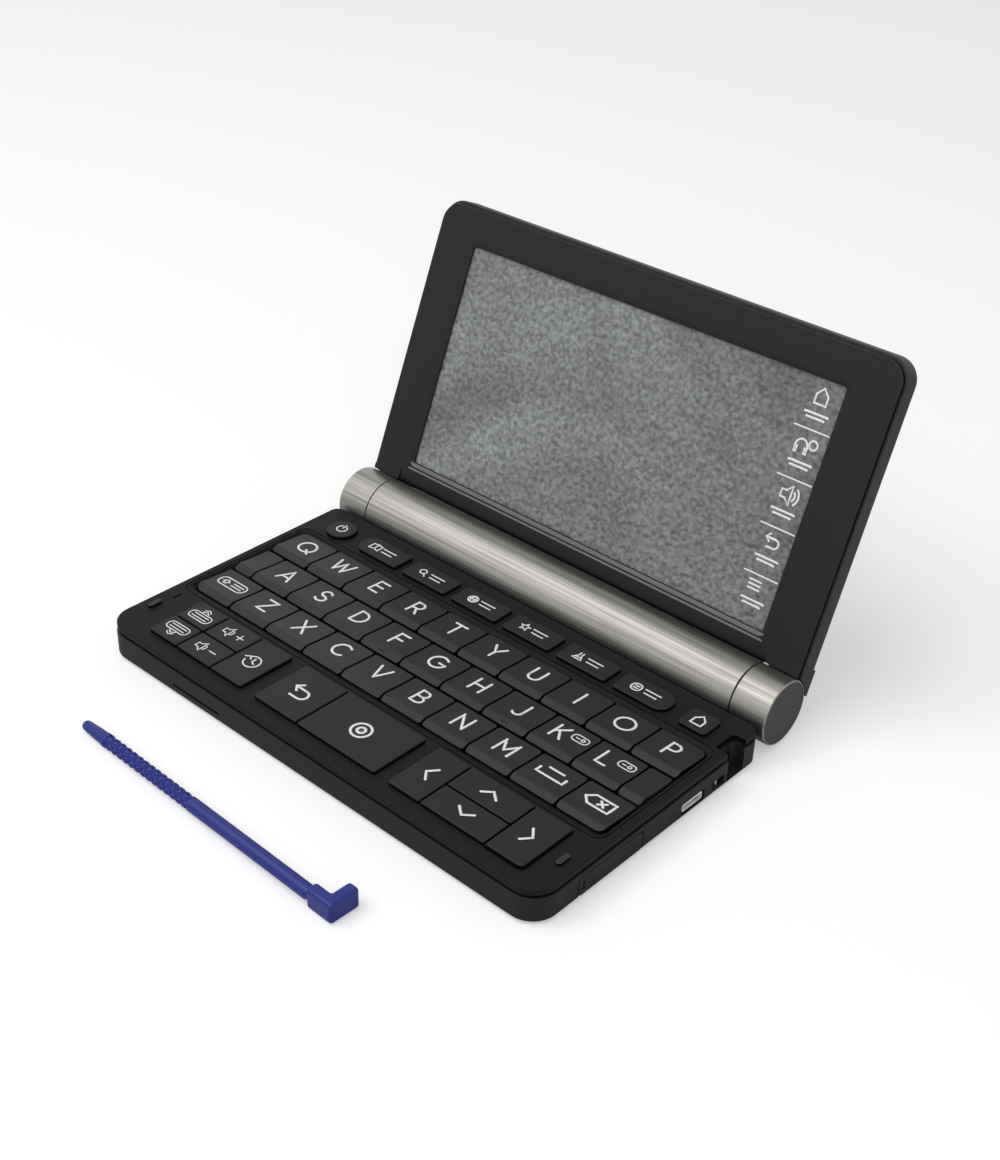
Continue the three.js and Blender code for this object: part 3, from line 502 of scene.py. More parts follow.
def make_pebbles_and_reflection():
    inputs = {
        "Scale": PEBBLE_SCALE, "Light": (0.245, 0.256, 0.262, 1), "Dark": (0.13, 0.136, 0.14, 1),
        "Fleck Low": 0.66, "Fleck High": 1.36,
    }
    build, source, target = new_group(
        "ShaderNodeTree", "pebbled_film", inputs, {"Height": "Float", "Color": "Color"}
    )
    place = build.object_place()
    pebbles = build.cells(place, source["Scale"], "SMOOTH_F1")
    build.feed(target["Height"], build.math("ADD", pebbles, build.noise(place, SWELL_SCALE, 2.0)))
    # Painted reflection: broad cloudy patches of lighter and darker grey.
    cloud = build.remap(build.noise(place, CLOUD_SCALE, 3.0, 1.2), *CLOUD_SPAN, 0, 1)
    grey = build.mix(source["Dark"], source["Light"], cloud)
    # Painted glints: small light specks.
    glint = build.noise(place, GLINT_SCALE, 0.6, 0.5)
    sparkle = build.remap(glint, *GLINT_SPAN, source["Fleck Low"], source["Fleck High"])
    # Painted reflection that grows weaker from left to right.
    side = build.add("ShaderNodeSeparateXYZ", {"Vector": place}).outputs["X"]
    level = build.math("MULTIPLY", sparkle, build.remap(side, *REFLECTION_FADE_SPAN, *REFLECTION_FADE_LEVEL))
    flecked = build.add("ShaderNodeVectorMath", {0: grey, "Scale": level}, operation="SCALE")
    build.feed(target["Color"], flecked.outputs["Vector"])
    return build.tree


def film_material():
    surface = {"Roughness": 0.25, "Specular IOR Level": 0.5}
    material, build, shader = new_material("screen_glass", surface)
    pebbles = build.group(make_pebbles_and_reflection())
    # Base colour: the screen's grey with the painted reflection and glints.
    build.feed(shader["Base Color"], pebbles["Color"])
    build.relief(shader, pebbles["Height"], 0.8, FILM_RELIEF)
    return material


def print_material(name, low, high):
    material, build, shader = new_material(name, {"Roughness": 0.6})
    specks = build.noise(build.object_place(), INK_SPECKS, 2.0)
    build.feed(shader["Base Color"], build.remap(specks, 0, 1, low, high))
    return material


film = film_material()
white_print = print_material("white_print", 0.88, 0.98)
screen_print = print_material("screen_print", 0.86, 0.98)
grey_print = print_material("grey_print", 0.05, 0.07)
print("screen and print:", film.name, white_print.name, screen_print.name, grey_print.name)

# %% [markdown]
# ## Meshes from outlines
#
# Nearly every moulded part here is a rounded rectangle that changes a little from floor to top: it
# draws in at an edge, or steps to a neck. So one helper gives a rounded outline, and another skins
# a stack of such outlines into a closed solid. Openings are carved with Boolean modifiers, whose
# cutters are made the same way, with a flared top where the real opening has a broken edge.

# %% Outlines and lofts
LEAST_ROUND = 0.02


def outline(x0, x1, y0, y1, radii, steps=8):
    """Rounded rectangle, counterclockwise; radii run rear right, rear left, front left, front right."""
    corners = [(x1, y1, -1, -1), (x0, y1, 1, -1), (x0, y0, 1, 1), (x1, y0, -1, 1)]
    points = []
    for number, (x, y, in_x, in_y) in enumerate(corners):
        radius = max(radii[number], LEAST_ROUND)
        for step in range(steps + 1):
            angle = (number + step / steps) * math.pi / 2
            across, along = in_x + math.cos(angle), in_y + math.sin(angle)
            points.append((x + across * radius, y + along * radius))
    return points


def grown(box, by):
    """A box x0, x1, y0, y1 that is larger on every side."""
    x0, x1, y0, y1 = box
    return x0 - by, x1 + by, y0 - by, y1 + by


def rounded(box, by, radii, steps=8):
    """Outline of a box drawn in by a distance, with corners that shrink along."""
    return outline(*grown(box, -by), [max(radius - by, LEAST_ROUND) for radius in radii], steps)


def quarter(radius, steps=5):
    """Steps of a rounded edge: how far it draws in and how far it still is below the top."""
    turns = [step / steps * math.pi / 2 for step in range(steps + 1)]
    return [(radius * (1 - math.cos(turn)), radius * (1 - math.sin(turn))) for turn in turns]


def link(name, bm):
    bmesh.ops.recalc_face_normals(bm, faces=bm.faces[:])
    mesh = bpy.data.meshes.new(name)
    bm.to_mesh(mesh)
    bm.free()
    return new_object(name, mesh)


def skin(name, rings):
    """Closed solid through rings of equally many points, each (points, z), in millimetres."""
    bm = bmesh.new()
    loops = [[bm.verts.new((x * MM, y * MM, z * MM)) for x, y in points] for points, z in rings]
    for low, high in zip(loops, loops[1:]):
        for here in range(len(low)):
            there = (here + 1) % len(low)
            bm.faces.new((low[here], low[there], high[there], high[here]))
    bm.faces.new(list(reversed(loops[0])))
    bm.faces.new(loops[-1])
    return link(name, bm)


def across_x(name, rings):
    """The same with rings drawn in Y and Z that follow each other along X."""
    piece = skin(name, rings)
    for vertex in piece.data.vertices:
        y, z, x = vertex.co
        vertex.co = (x, y, z)
    return piece


def turned(name, profile, centre_y=HINGE_Y, centre_z=HINGE_Z, steps=96):
    """Round solid along X; the profile is (x, radius) from one end on the axis to the other."""
    bm = bmesh.new()
    loops = []
    for x, radius in profile:
        turns = [2 * math.pi * step / steps for step in range(steps if radius > 0 else 1)]
        ring = [(centre_y + radius * math.cos(turn), centre_z + radius * math.sin(turn))
                for turn in turns]
        loops.append([bm.verts.new((x * MM, y * MM, z * MM)) for y, z in ring])
    for low, high in zip(loops, loops[1:]):
        # Fuses the two corners that reach down beside the barrel.
        for here in range(steps):
            sides = ((low, here), (low, here + 1), (high, here + 1), (high, here))
            bm.faces.new(list(dict.fromkeys(loop[number % len(loop)] for loop, number in sides)))
    return link(name, bm)


def block(name, x0, x1, y0, y1, z0, z1, radii=(0, 0, 0, 0), flare=0.0):
    """Cutter or plain block; with a flare its top opens by that much over the same height."""
    plan, wide = (rounded((x0, x1, y0, y1), by, radii, 6) for by in (0, -flare))
    top = [(plan, z1 - flare), (wide, z1), (wide, z1 + OVERRUN)] if flare else [(plan, z1)]
    return skin(name, [(plan, z0), *top])


# %% Joining and carving


def absorb(first, others):
    """Joins meshes into the first one and removes the others."""
    bm = bmesh.new()
    bm.from_mesh(first.data)
    for other in others:
        bm.from_mesh(other.data)
        bpy.data.objects.remove(other)
    bm.to_mesh(first.data)
    bm.free()
    return first


def settle(piece):
    """Keeps what the modifiers make as the piece's own mesh."""
    bpy.context.view_layer.update()
    graph = bpy.context.evaluated_depsgraph_get()
    mesh = bpy.data.meshes.new_from_object(piece.evaluated_get(graph))
    mesh.name = piece.name
    piece.modifiers.clear()
    piece.data = mesh
    return piece


def combine(piece, others, operation):
    """One exact Boolean with a group of solids that don't touch each other."""
    tool = absorb(others[0], others[1:])
    modifier = piece.modifiers.new("combine", "BOOLEAN")
    modifier.operation = operation
    modifier.solver = "EXACT"
    modifier.object = tool
    settle(piece)
    bpy.data.objects.remove(tool)
    return piece


def carve(piece, *cutters):
    return combine(piece, cutters, "DIFFERENCE")


def fuse(piece, *others):
    return combine(piece, others, "UNION")


def round_edges(piece, width, segments):
    edge = piece.modifiers.new("edge", "BEVEL")
    edge.width = width * MM
    edge.segments = segments
    return settle(piece)


# %% [markdown]
# A solid with flat faces and small rounded edges looks right when the big faces stay flat and only
# the edges shade round. Edges above an angle are marked sharp, and weighted normals let the big
# faces win. A plate with many openings also has its top shaded flat, because its narrow strips
# would bend the light.

# %% Shading, material and body of a finished piece
SHARP_ANGLE = 32
LEVEL = 0.999


def hand_over(piece, body, nodes=()):
    """Says what a piece rides on and hides the nodes it stands for."""
    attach(piece, body)
    if nodes:
        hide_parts(*nodes)
    return piece


def finish_piece(piece, material, body, slot_name, *nodes, flat_top=False):
    """Shades the piece, gives it its finish and hands it over."""
    mesh = piece.data
    mesh.materials.clear()
    mesh.materials.append(material)
    mesh.shade_smooth()
    mesh.set_sharp_from_angle(angle=math.radians(SHARP_ANGLE))
    for face in mesh.polygons:
        face.use_smooth = not (flat_top and face.normal.z > LEVEL)
    weighted = piece.modifiers.new("weighted", "WEIGHTED_NORMAL")
    weighted.keep_sharp = True
    return hand_over(settle(piece), body, nodes)


# %% [markdown]
# The narrow gaps between keys and plate are deep and see hardly any light. The walls inside them
# get painted shade, a near-black plastic, so that they stay as black as they look between real keys.

# %% Painted shade on walls
UPRIGHT = 0.4


def everywhere(*_):
    return True


def paint_shade_on_walls(piece, test=everywhere, up=Vector((0, 0, 1))):
    """Paints shade: gives the near-black plastic to the upright faces that the test picks by their centre.
    """
    mesh = piece.data
    mesh.materials.append(inner_plastic)
    for face in mesh.polygons:
        if abs(face.normal.dot(up)) < UPRIGHT and test(*(value / MM for value in face.center)):
            face.material_index = 1
    return piece


# %% [markdown]
# ## Lower case
#
# The lower case is a tray: its underside rolls up into the walls, the rim is broken, and a
# narrower neck carries the deck plate, which leaves the groove that runs all round; the groove's
# walls get painted shade. One loft makes it, and cutters then open the tray, the stylus channel,
# the corner notch and the holes in the walls.

# %% Case openings
NOTCH_WALL = 70.0
NOTCH = (18.435, 25.935)
NOTCH_RADII = (0, 1.8, 0.8, 0)
NOTCH_STEP = 0.5
CHANNEL = (19.885, 24.485)
CHANNEL_FLOOR = 0.6
CHANNEL_WALL = 1.2
CHANNEL_REACH = 86
MOUTH_BACK = 1.5
MOUTH_HIGH = 4.6
USB = (1.235, 10.035, 0.8, 4.0)
USB_DEPTH = 6.0
STRAP = (13.135, 17.735, 1.3, 3.8)
STRAP_DEPTH = 2.3
COVER = Box("card_slot_cover")
COVER_BOX = (COVER.y0, COVER.y1, COVER.z0, COVER.z1)
COVER_DEPTH = 1.5
JACK = (-19.946, 3.384, 1.8)
JACK_DEPTH = 7
FRONT_SLOT = (-46.98, -29.38)
FRONT_SLOT_DEPTH = 1.2
FRONT_SLOT_HEIGHTS = (2.04, 2.84)
SCREWS = [(x, y) for y in (-42.865, 14.185) for x in (-50, 0, 50)]
SCREW_HOLE = 2.0


def base_plan(by):
    rear, front = (max(radius - by, NECK_INSET) for radius in (REAR_ROUND, FRONT_ROUND))
    plan = grown((case.x0, case.x1, case.y0, case.y1), -by)
    return outline(*plan, (rear, rear, front, front), 12)


def wall_slot(name, box, depth, radius=0.4):
    """Cutter for an opening in the right wall, whose box lies in Y and Z."""
    plan = outline(*box, [radius] * 4, 5)
    return across_x(name, [(plan, case.x1 - depth), (plan, case.x1 + OVERRUN)])


def case_cutters():
    """One cutter after the other: tray, channel, notch, and the holes in the walls."""
    tray = skin("tray", [(base_plan(CASE_WALL), CASE_FLOOR), (base_plan(CASE_WALL), case.z1 + OVERRUN)])
    yield carve(tray, block("keep", -case.x1, case.x1, CHANNEL[0] - CHANNEL_WALL, case.y1, -1, 10))
    channel = (NOTCH_WALL - CHANNEL_REACH, NOTCH_WALL - CHANNEL_WALL)
    yield block("channel", *channel, *CHANNEL, CHANNEL_FLOOR, 10)
    mouth = (NOTCH_WALL - MOUTH_BACK, case.x1 + OVERRUN)
    yield block("mouth", *mouth, *CHANNEL, CHANNEL_FLOOR, CHANNEL_FLOOR + MOUTH_HIGH)
    notch = (NOTCH_WALL + NOTCH_STEP, case.x1 + OVERRUN, NOTCH[0] + NOTCH_STEP, NOTCH[1] - NOTCH_STEP)
    yield block("notch", *notch, CHANNEL_FLOOR, 12, radii=NOTCH_RADII)
    yield wall_slot("usb_hole", USB, USB_DEPTH, 0.6)
    yield wall_slot("strap_hole", STRAP, STRAP_DEPTH)
    yield wall_slot("cover_hole", grown(COVER_BOX, KEY_GAP), COVER_DEPTH, 1.0)
    y, z, radius = JACK
    ends = (case.x0 - OVERRUN, case.x0 + JACK_DEPTH)
    profile = [(ends[0], 0), (ends[0], radius), (ends[1], radius), (ends[1], 0)]
    yield turned("jack_hole", profile, y, z, 32)
    depth = (case.y0 - OVERRUN, case.y0 + FRONT_SLOT_DEPTH)
    yield block("front_slot", *FRONT_SLOT, *depth, *FRONT_SLOT_HEIGHTS)


def screw_recess(x, y):
    """Cutter for a round hole in the underside with a broken edge."""
    rings = []
    for radius, z in ((0.3, -1), (0.3, 0), (0, 0.3), (0, 1.3)):
        radius += SCREW_HOLE
        rings.append((outline(*grown((x, x, y, y), radius), [radius] * 4), z))
    return skin("screw_recess", rings)


def lower_case():
    rings = [(base_plan(below), by) for by, below in quarter(CASE_ROUND, 6)]
    rings += [(base_plan(by), RIM_TOP - below) for by, below in quarter(DECK_EDGE)]
    rings += [(base_plan(NECK_INSET), RIM_TOP), (base_plan(NECK_INSET), case.z1)]
    piece = skin("lower_case", rings)
    for cutter in case_cutters():
        carve(piece, cutter)
    carve(piece, *[screw_recess(x, y) for x, y in SCREWS])
    finish_piece(piece, body_plastic, "base", "body_plastic", "bottom_case")
    # Painted shade: the upright faces above the rim, the neck in the groove among them, get the near-black
    # plastic.
    return paint_shade_on_walls(piece, lambda x, y, z: z > RIM_TOP)


case_piece = lower_case()
print("lower case:", len(case_piece.data.polygons), "faces")

# %% [markdown]
# ## Key outlines
#
# The frame's boxes already hold the keys. A letter key's box is its cap. A key that stands in the
# deck plate hides a flange under it, on the sides that border the plate, so the cap is the box
# less the flange.

# %% Read the keys from the frame
FLANGE = 1.1
DECK_KEY_TOP = 10.5
GROUP_ROUND = 0.7
HOME_ROUND = 1.2
POWER_ROUND = 4.3
FUNCTION_ROUND = 3.2
ROWS = [row.split() for row in (
    "q w e r t y u i o p", "a s d f g h j k l", "shift z x c v b n m space delete")]
SQUARE = (0, 0, 0, 0)
LEFT_ROUND = (0, GROUP_ROUND, GROUP_ROUND, 0)
RIGHT_ROUND = (GROUP_ROUND, 0, 0, GROUP_ROUND)
LEFT_END = "left rear front"
RIGHT_END = "right rear front"
ALL_SIDES = "left right front rear"
PLATE_SIDES = {
    "previous": ("left rear", (0, GROUP_ROUND, 0, 0)),
    "next": ("left front", (0, 0, GROUP_ROUND, 0)),
    "volume_up": ("rear", SQUARE),
    "volume_down": ("front", SQUARE),
    "history": (RIGHT_END, RIGHT_ROUND),
    "back": (LEFT_END, LEFT_ROUND),
    "enter": (RIGHT_END, RIGHT_ROUND),
    "left": (LEFT_END, LEFT_ROUND),
    "up": ("rear", SQUARE),
    "down": ("front", SQUARE),
    "right": (RIGHT_END, (GROUP_ROUND, 0, 0, 2 * GROUP_ROUND)),
    **{f"f{number}": (ALL_SIDES, (CAP_ROUND,) * 4) for number in range(2, 6)},
    "f1": (ALL_SIDES, (CAP_ROUND, FUNCTION_ROUND, FUNCTION_ROUND, CAP_ROUND)),
    "f6": (ALL_SIDES, (FUNCTION_ROUND, CAP_ROUND, CAP_ROUND, FUNCTION_ROUND)),
    "power": (ALL_SIDES, (POWER_ROUND,) * 4),
    "home": (ALL_SIDES, (HOME_ROUND,) * 4),
}


def cap_box(name, sides=""):
    box = Box(f"key_{name}")
    left, right, front, rear = (FLANGE if side in sides else 0 for side in ALL_SIDES.split())
    return box.x0 + left, box.x1 - right, box.y0 + front, box.y1 - rear


def letter_corners(row, column):
    """A key has a wide corner where the whole field has one."""
    last = len(ROWS[row]) - 1
    field = ((0, last), (0, 0), (2, 0), (2, last))
    return tuple(FIELD_ROUND if (row, column) == corner else CAP_ROUND for corner in field)


letters = {name: (cap_box(name), letter_corners(row, column))
           for row, names in enumerate(ROWS) for column, name in enumerate(names)}
plate_keys = {name: (cap_box(name, sides), radii) for name, (sides, radii) in PLATE_SIDES.items()}
print(len(letters), "letter keys and", len(plate_keys), "keys in the plate")

# %% [markdown]
# ## Deck plate
#
# The deck is a thin plate over the case. It carries one big opening for the letters, an opening
# for every other key, and under them the grid that holds the letter keys in place. The two half
# keys at the ends of the middle row don't move: they belong to the plate.

# %% Letter cap shape
CAP_BACK = DECK_TOP - 0.47
CAP_RIDGE = DECK_TOP + 0.23
CAP_LIP = DECK_TOP - 0.6
CAP_DISH = 0.1
RIDGE_SHARE = 0.846
RIDGE_ROUND = 0.35
CAP_EDGE = 0.16


def cap_height(y, y0, y1):
    """Top of a letter key: low at the back, a shallow dish, a soft ridge, and a lip in front."""
    depth = y1 - y0
    share = (y1 - y) / depth
    rise = (CAP_RIDGE - CAP_BACK) / RIDGE_SHARE
    ridge_y = y1 - RIDGE_SHARE * depth
    fall = (CAP_RIDGE - CAP_LIP) / (ridge_y - y0)
    if y > ridge_y + RIDGE_ROUND:
        bow = CAP_DISH * 4 * share * (RIDGE_SHARE - share) / RIDGE_SHARE**2
        return CAP_BACK + rise * share - bow
    if y < ridge_y - RIDGE_ROUND:
        return CAP_RIDGE - (ridge_y - y) * fall
    blend = (y - ridge_y + RIDGE_ROUND) / (2 * RIDGE_ROUND)
    low = CAP_RIDGE - RIDGE_ROUND * fall
    high = CAP_BACK + rise * (RIDGE_SHARE - RIDGE_ROUND / depth)
    crown = (low + high) / 2 + RIDGE_ROUND * (fall + rise / depth) / 4
    return (1 - blend) ** 2 * low + 2 * blend * (1 - blend) * crown + blend**2 * high


def cap_cuts(y0, y1):
    """Where a cap is cut across: round its ridge, and seven times behind it."""
    behind = RIDGE_SHARE * (y1 - y0)
    around = [y1 - behind + RIDGE_ROUND * step / 3 for step in range(-3, 4)]
    return around + [y1 - behind * step / 8 for step in range(1, 8)]


def cap_solid(name, box, radii, floor, top, edge):
    """Rounded block with a rounded top edge."""
    rings = [(rounded(box, by, radii), top - below) for by, below in quarter(edge, 4)]
    return skin(name, [(rounded(box, 0, radii), floor), *rings])


def letter_cap(name, box, radii, floor=DECK_FOOT):
    """Cuts a block across at the turns of the profile, then moves each point to its height."""
    piece = cap_solid(name, box, radii, floor, DECK_TOP, CAP_EDGE)
    y0, y1 = box[2:]
    bm = bmesh.new()
    bm.from_mesh(piece.data)
    for y in cap_cuts(y0, y1):
        whole = bm.verts[:] + bm.edges[:] + bm.faces[:]
        bmesh.ops.bisect_plane(bm, geom=whole, plane_co=(0, y * MM, 0), plane_no=(0, 1, 0), dist=1e-7)
    for vertex in bm.verts:
        if vertex.co.z > (floor + 0.2) * MM:
            y = min(max(vertex.co.y / MM, y0), y1)
            vertex.co.z += (cap_height(y, y0, y1) - DECK_TOP) * MM
    bm.to_mesh(piece.data)
    bm.free()
    return piece


# %% Deck plate
SIDE_GAP = 0.4
PLATE_INSET = 0.2
SKIRT = 0.6
STEM_HOLE_INSET = 2.1
MIC = (-69.49, -68.89, -31.57, -28.67)
BUMPER_X = 70.1
BUMPER_Y = -36.72
BUMPER_WIDE = 1.6
BUMPER_LONG = 4.2
BUMPER_EDGE = 0.3
MIC_DEPTH = 0.8
GROOVE_DEPTH = 0.3
NOTCH_FLARE = 0.25
FILLER_GAP = 0.6
FIELD_FOOT = 8.45
FRAME_SIDE = 0.8
FRAME_FRONT = 1.9
GROOVE_GAP = 0.35
GROOVE_WIDE = 0.4

FIELD = (letters["q"][0][0], letters["p"][0][1], letters["shift"][0][2], letters["p"][0][3])
field_box = grown(FIELD, SIDE_GAP)


def frame_box(by):
    x0, x1, y0, y1 = grown(field_box, by)
    return x0 - FRAME_SIDE, x1 + FRAME_SIDE, y0 - FRAME_FRONT, y1 + FRAME_SIDE


def field_slope():
    """Cutter for the shallow slope from the plate down to the letter keys."""
    foot = rounded(field_box, -0.05, (FIELD_ROUND,) * 4)
    head = rounded(frame_box(0), 0, (FIELD_ROUND + FRAME_SIDE,) * 4)
    return skin("field_slope", [(foot, FIELD_FOOT), (head, DECK_TOP), (head, DECK_TOP + OVERRUN)])


def field_groove():
    """Cutter for the thin groove that runs round the slope."""
    radii = (FIELD_ROUND + FRAME_SIDE + GROOVE_GAP,) * 4
    island = block("island", *frame_box(GROOVE_GAP), DECK_TOP - 3, DECK_TOP + 6, radii)
    ring = frame_box(GROOVE_GAP + GROOVE_WIDE)
    return carve(block("groove", *ring, DECK_TOP - GROOVE_DEPTH, DECK_TOP + OVERRUN, radii), island)


def is_inner(x, y):
    """Whether a point of the plate is well within its outline, corners included."""
    rear = REAR_ROUND + 0.5
    corner = abs(x) > case.x1 - FRONT_ROUND and y < case.y0 + FRONT_ROUND
    corner = corner or abs(x) > case.x1 - rear and y > case.y1 - rear
    return abs(x) < case.x1 - 1 and case.y0 + 1 < y < case.y1 - 1 and not corner


def key_openings():
    """Cutter for all keys in the plate; neighbours share one opening."""
    holes = []
    for name, (box, radii) in plate_keys.items():
        corners = [radius + KEY_GAP if radius else 0 for radius in radii]
        holes.append(block(f"hole_{name}", *grown(box, KEY_GAP), DECK_FOOT - 3, DECK_TOP, corners))
    for hole in holes[1:]:
        fuse(holes[0], hole)
    return holes[0]


def deck_cutters():
    yield field_slope()
    yield field_groove()
    yield block("field", *field_box, GRID_TOP, DECK_TOP, (FIELD_ROUND,) * 4)
    yield key_openings()
    notch = (NOTCH_WALL, case.x1 + OVERRUN, *NOTCH)
    yield block("deck_notch", *notch, DECK_FOOT - 3, DECK_TOP, NOTCH_RADII, flare=NOTCH_FLARE)
    yield block("mic_slot", *MIC, DECK_TOP - MIC_DEPTH, DECK_TOP + OVERRUN)


def deck_plate():
    rings = [(base_plan(PLATE_INSET), DECK_FOOT)]
    rings += [(base_plan(PLATE_INSET + by), DECK_TOP - below) for by, below in quarter(DECK_EDGE)]
    piece = skin("deck_plate", rings)
    heights = (GRID_TOP - GRID_THICK, DECK_FOOT + 0.4)
    fuse(piece, block("skirt", *grown(field_box, SKIRT), *heights, (1,) * 4))
    for cutter in deck_cutters():
        carve(piece, cutter)
    carve(piece, *[block("stem_hole", *grown(box, -STEM_HOLE_INSET), GRID_TOP - 3, GRID_TOP + 1)
                   for box, _ in letters.values()])
    finish_piece(piece, deck_plastic, "base", "deck_plastic", "keyboard_deck", flat_top=True)
    # Painted shade: the upright walls of the openings, below the top and within the outline, get the
    # near-black plastic.
    return paint_shade_on_walls(piece, lambda x, y, z: z < DECK_TOP - 0.05 and is_inner(x, y))


def filler_keys():
    made = []
    inner = letters["a"][0][0] - FILLER_GAP
    row = letters["a"][0][2:]
    ends = {"left_filler": (letters["q"][0][0], inner), "right_filler": (-inner, letters["p"][0][1])}
    for name, end in ends.items():
        piece = letter_cap(name, (*end, *row), (CAP_ROUND,) * 4, floor=GRID_TOP)
        made.append(finish_piece(piece, key_plastic, "base", "key_plastic"))
    return made


def bumpers():
    made = []
    half, long = BUMPER_WIDE / 2, BUMPER_LONG / 2
    for name, x in (("left_bumper", -BUMPER_X), ("right_bumper", BUMPER_X)):
        box = (x - half, x + half, BUMPER_Y - long, BUMPER_Y + long)
        piece = cap_solid(name, box, (half,) * 4, DECK_TOP - 0.4, deck.z1, BUMPER_EDGE)
        finish_piece(piece, bumper_rubber, "base", "deck_plastic")
        # Painted shade: the bumper's upright sides get the near-black plastic.
        made.append(paint_shade_on_walls(piece))
    return made


deck_piece = deck_plate()
fillers = filler_keys()
stops = bumpers()
print("deck plate:", len(deck_piece.data.polygons), "faces,",
      len(fillers), "fillers,", len(stops), "bumpers")

# %% [markdown]
# ## Key caps
#
# A letter cap is lowest at its back, swings up through a shallow dish to a soft ridge, and drops
# in a lip at the front. The block is cut across at the turns of that line and each point is moved
# to its height, which keeps the rounded edge. Under the cap a stem goes through the grid to a
# wider foot that holds it.

# %% Letter keys and keys in the plate
STEM_INSET = 2.4
STEM_FOOT = 4.4
FOOT_TOP = STEM_FOOT + 0.8
PLATE_KEY_EDGE = 0.4


def finish_key(piece, name, material):
    finish_piece(piece, material, f"key_{name}", "key_plastic", f"key_{name}")
    # Painted shade: every upright wall of the key gets the near-black plastic.
    return paint_shade_on_walls(piece)


def letter_key(name, box, radii):
    stem = grown(box, -STEM_INSET)
    under = [block("stem", *stem, FOOT_TOP, DECK_FOOT),
             block("foot", *grown(stem, FLANGE), STEM_FOOT, FOOT_TOP)]
    return finish_key(absorb(letter_cap(f"cap_{name}", box, radii), under), name, key_plastic)


def plate_key(name, box, radii):
    corners = [max(radius, 0.4) for radius in radii]
    piece = cap_solid(f"cap_{name}", box, corners, DECK_FOOT - 0.7, DECK_KEY_TOP, PLATE_KEY_EDGE)
    flange = block("flange", *cap_box(name), DECK_FOOT - 1.1, DECK_FOOT - 0.3)
    return finish_key(absorb(piece, [flange]), name, plate_key_plastic)


caps = [letter_key(name, box, radii) for name, (box, radii) in letters.items()]
caps += [plate_key(name, box, radii) for name, (box, radii) in plate_keys.items()]
print(len(caps), "key caps")

# %% [markdown]
# ## Printed letters and signs
#
# The print on the keys is white ink in strokes of one width with round ends. So a letter is
# written here the way a pen draws it: as a few paths in a box that is one unit high, with its
# middle at x = 0. The signs on the other keys are generic and are drawn in millimetres. A Geometry
# Nodes tree turns any set of paths into print: it gives the paths a flat thin profile and sets a
# small disc on every end and sharp bend, which rounds them. The flat print is then laid on the key
# by moving each point to the key's height.

# %% Pen paths


def arc(x, y, across, up, start, end, steps=14):
    """Points on an ellipse between two angles in degrees."""
    turns = [math.radians(start + (end - start) * step / steps) for step in range(steps + 1)]
    return [(x + across * math.cos(turn), y + up * math.sin(turn)) for turn in turns]


def circle(radius, steps, x=0.0, y=0.0):
    return arc(x, y, radius, radius, 0, 360, steps)


def bowl(x, y, across, up):
    """Right half of a round letter part, from its top to its foot."""
    return arc(x, y, across, up, 90, -90, 10)


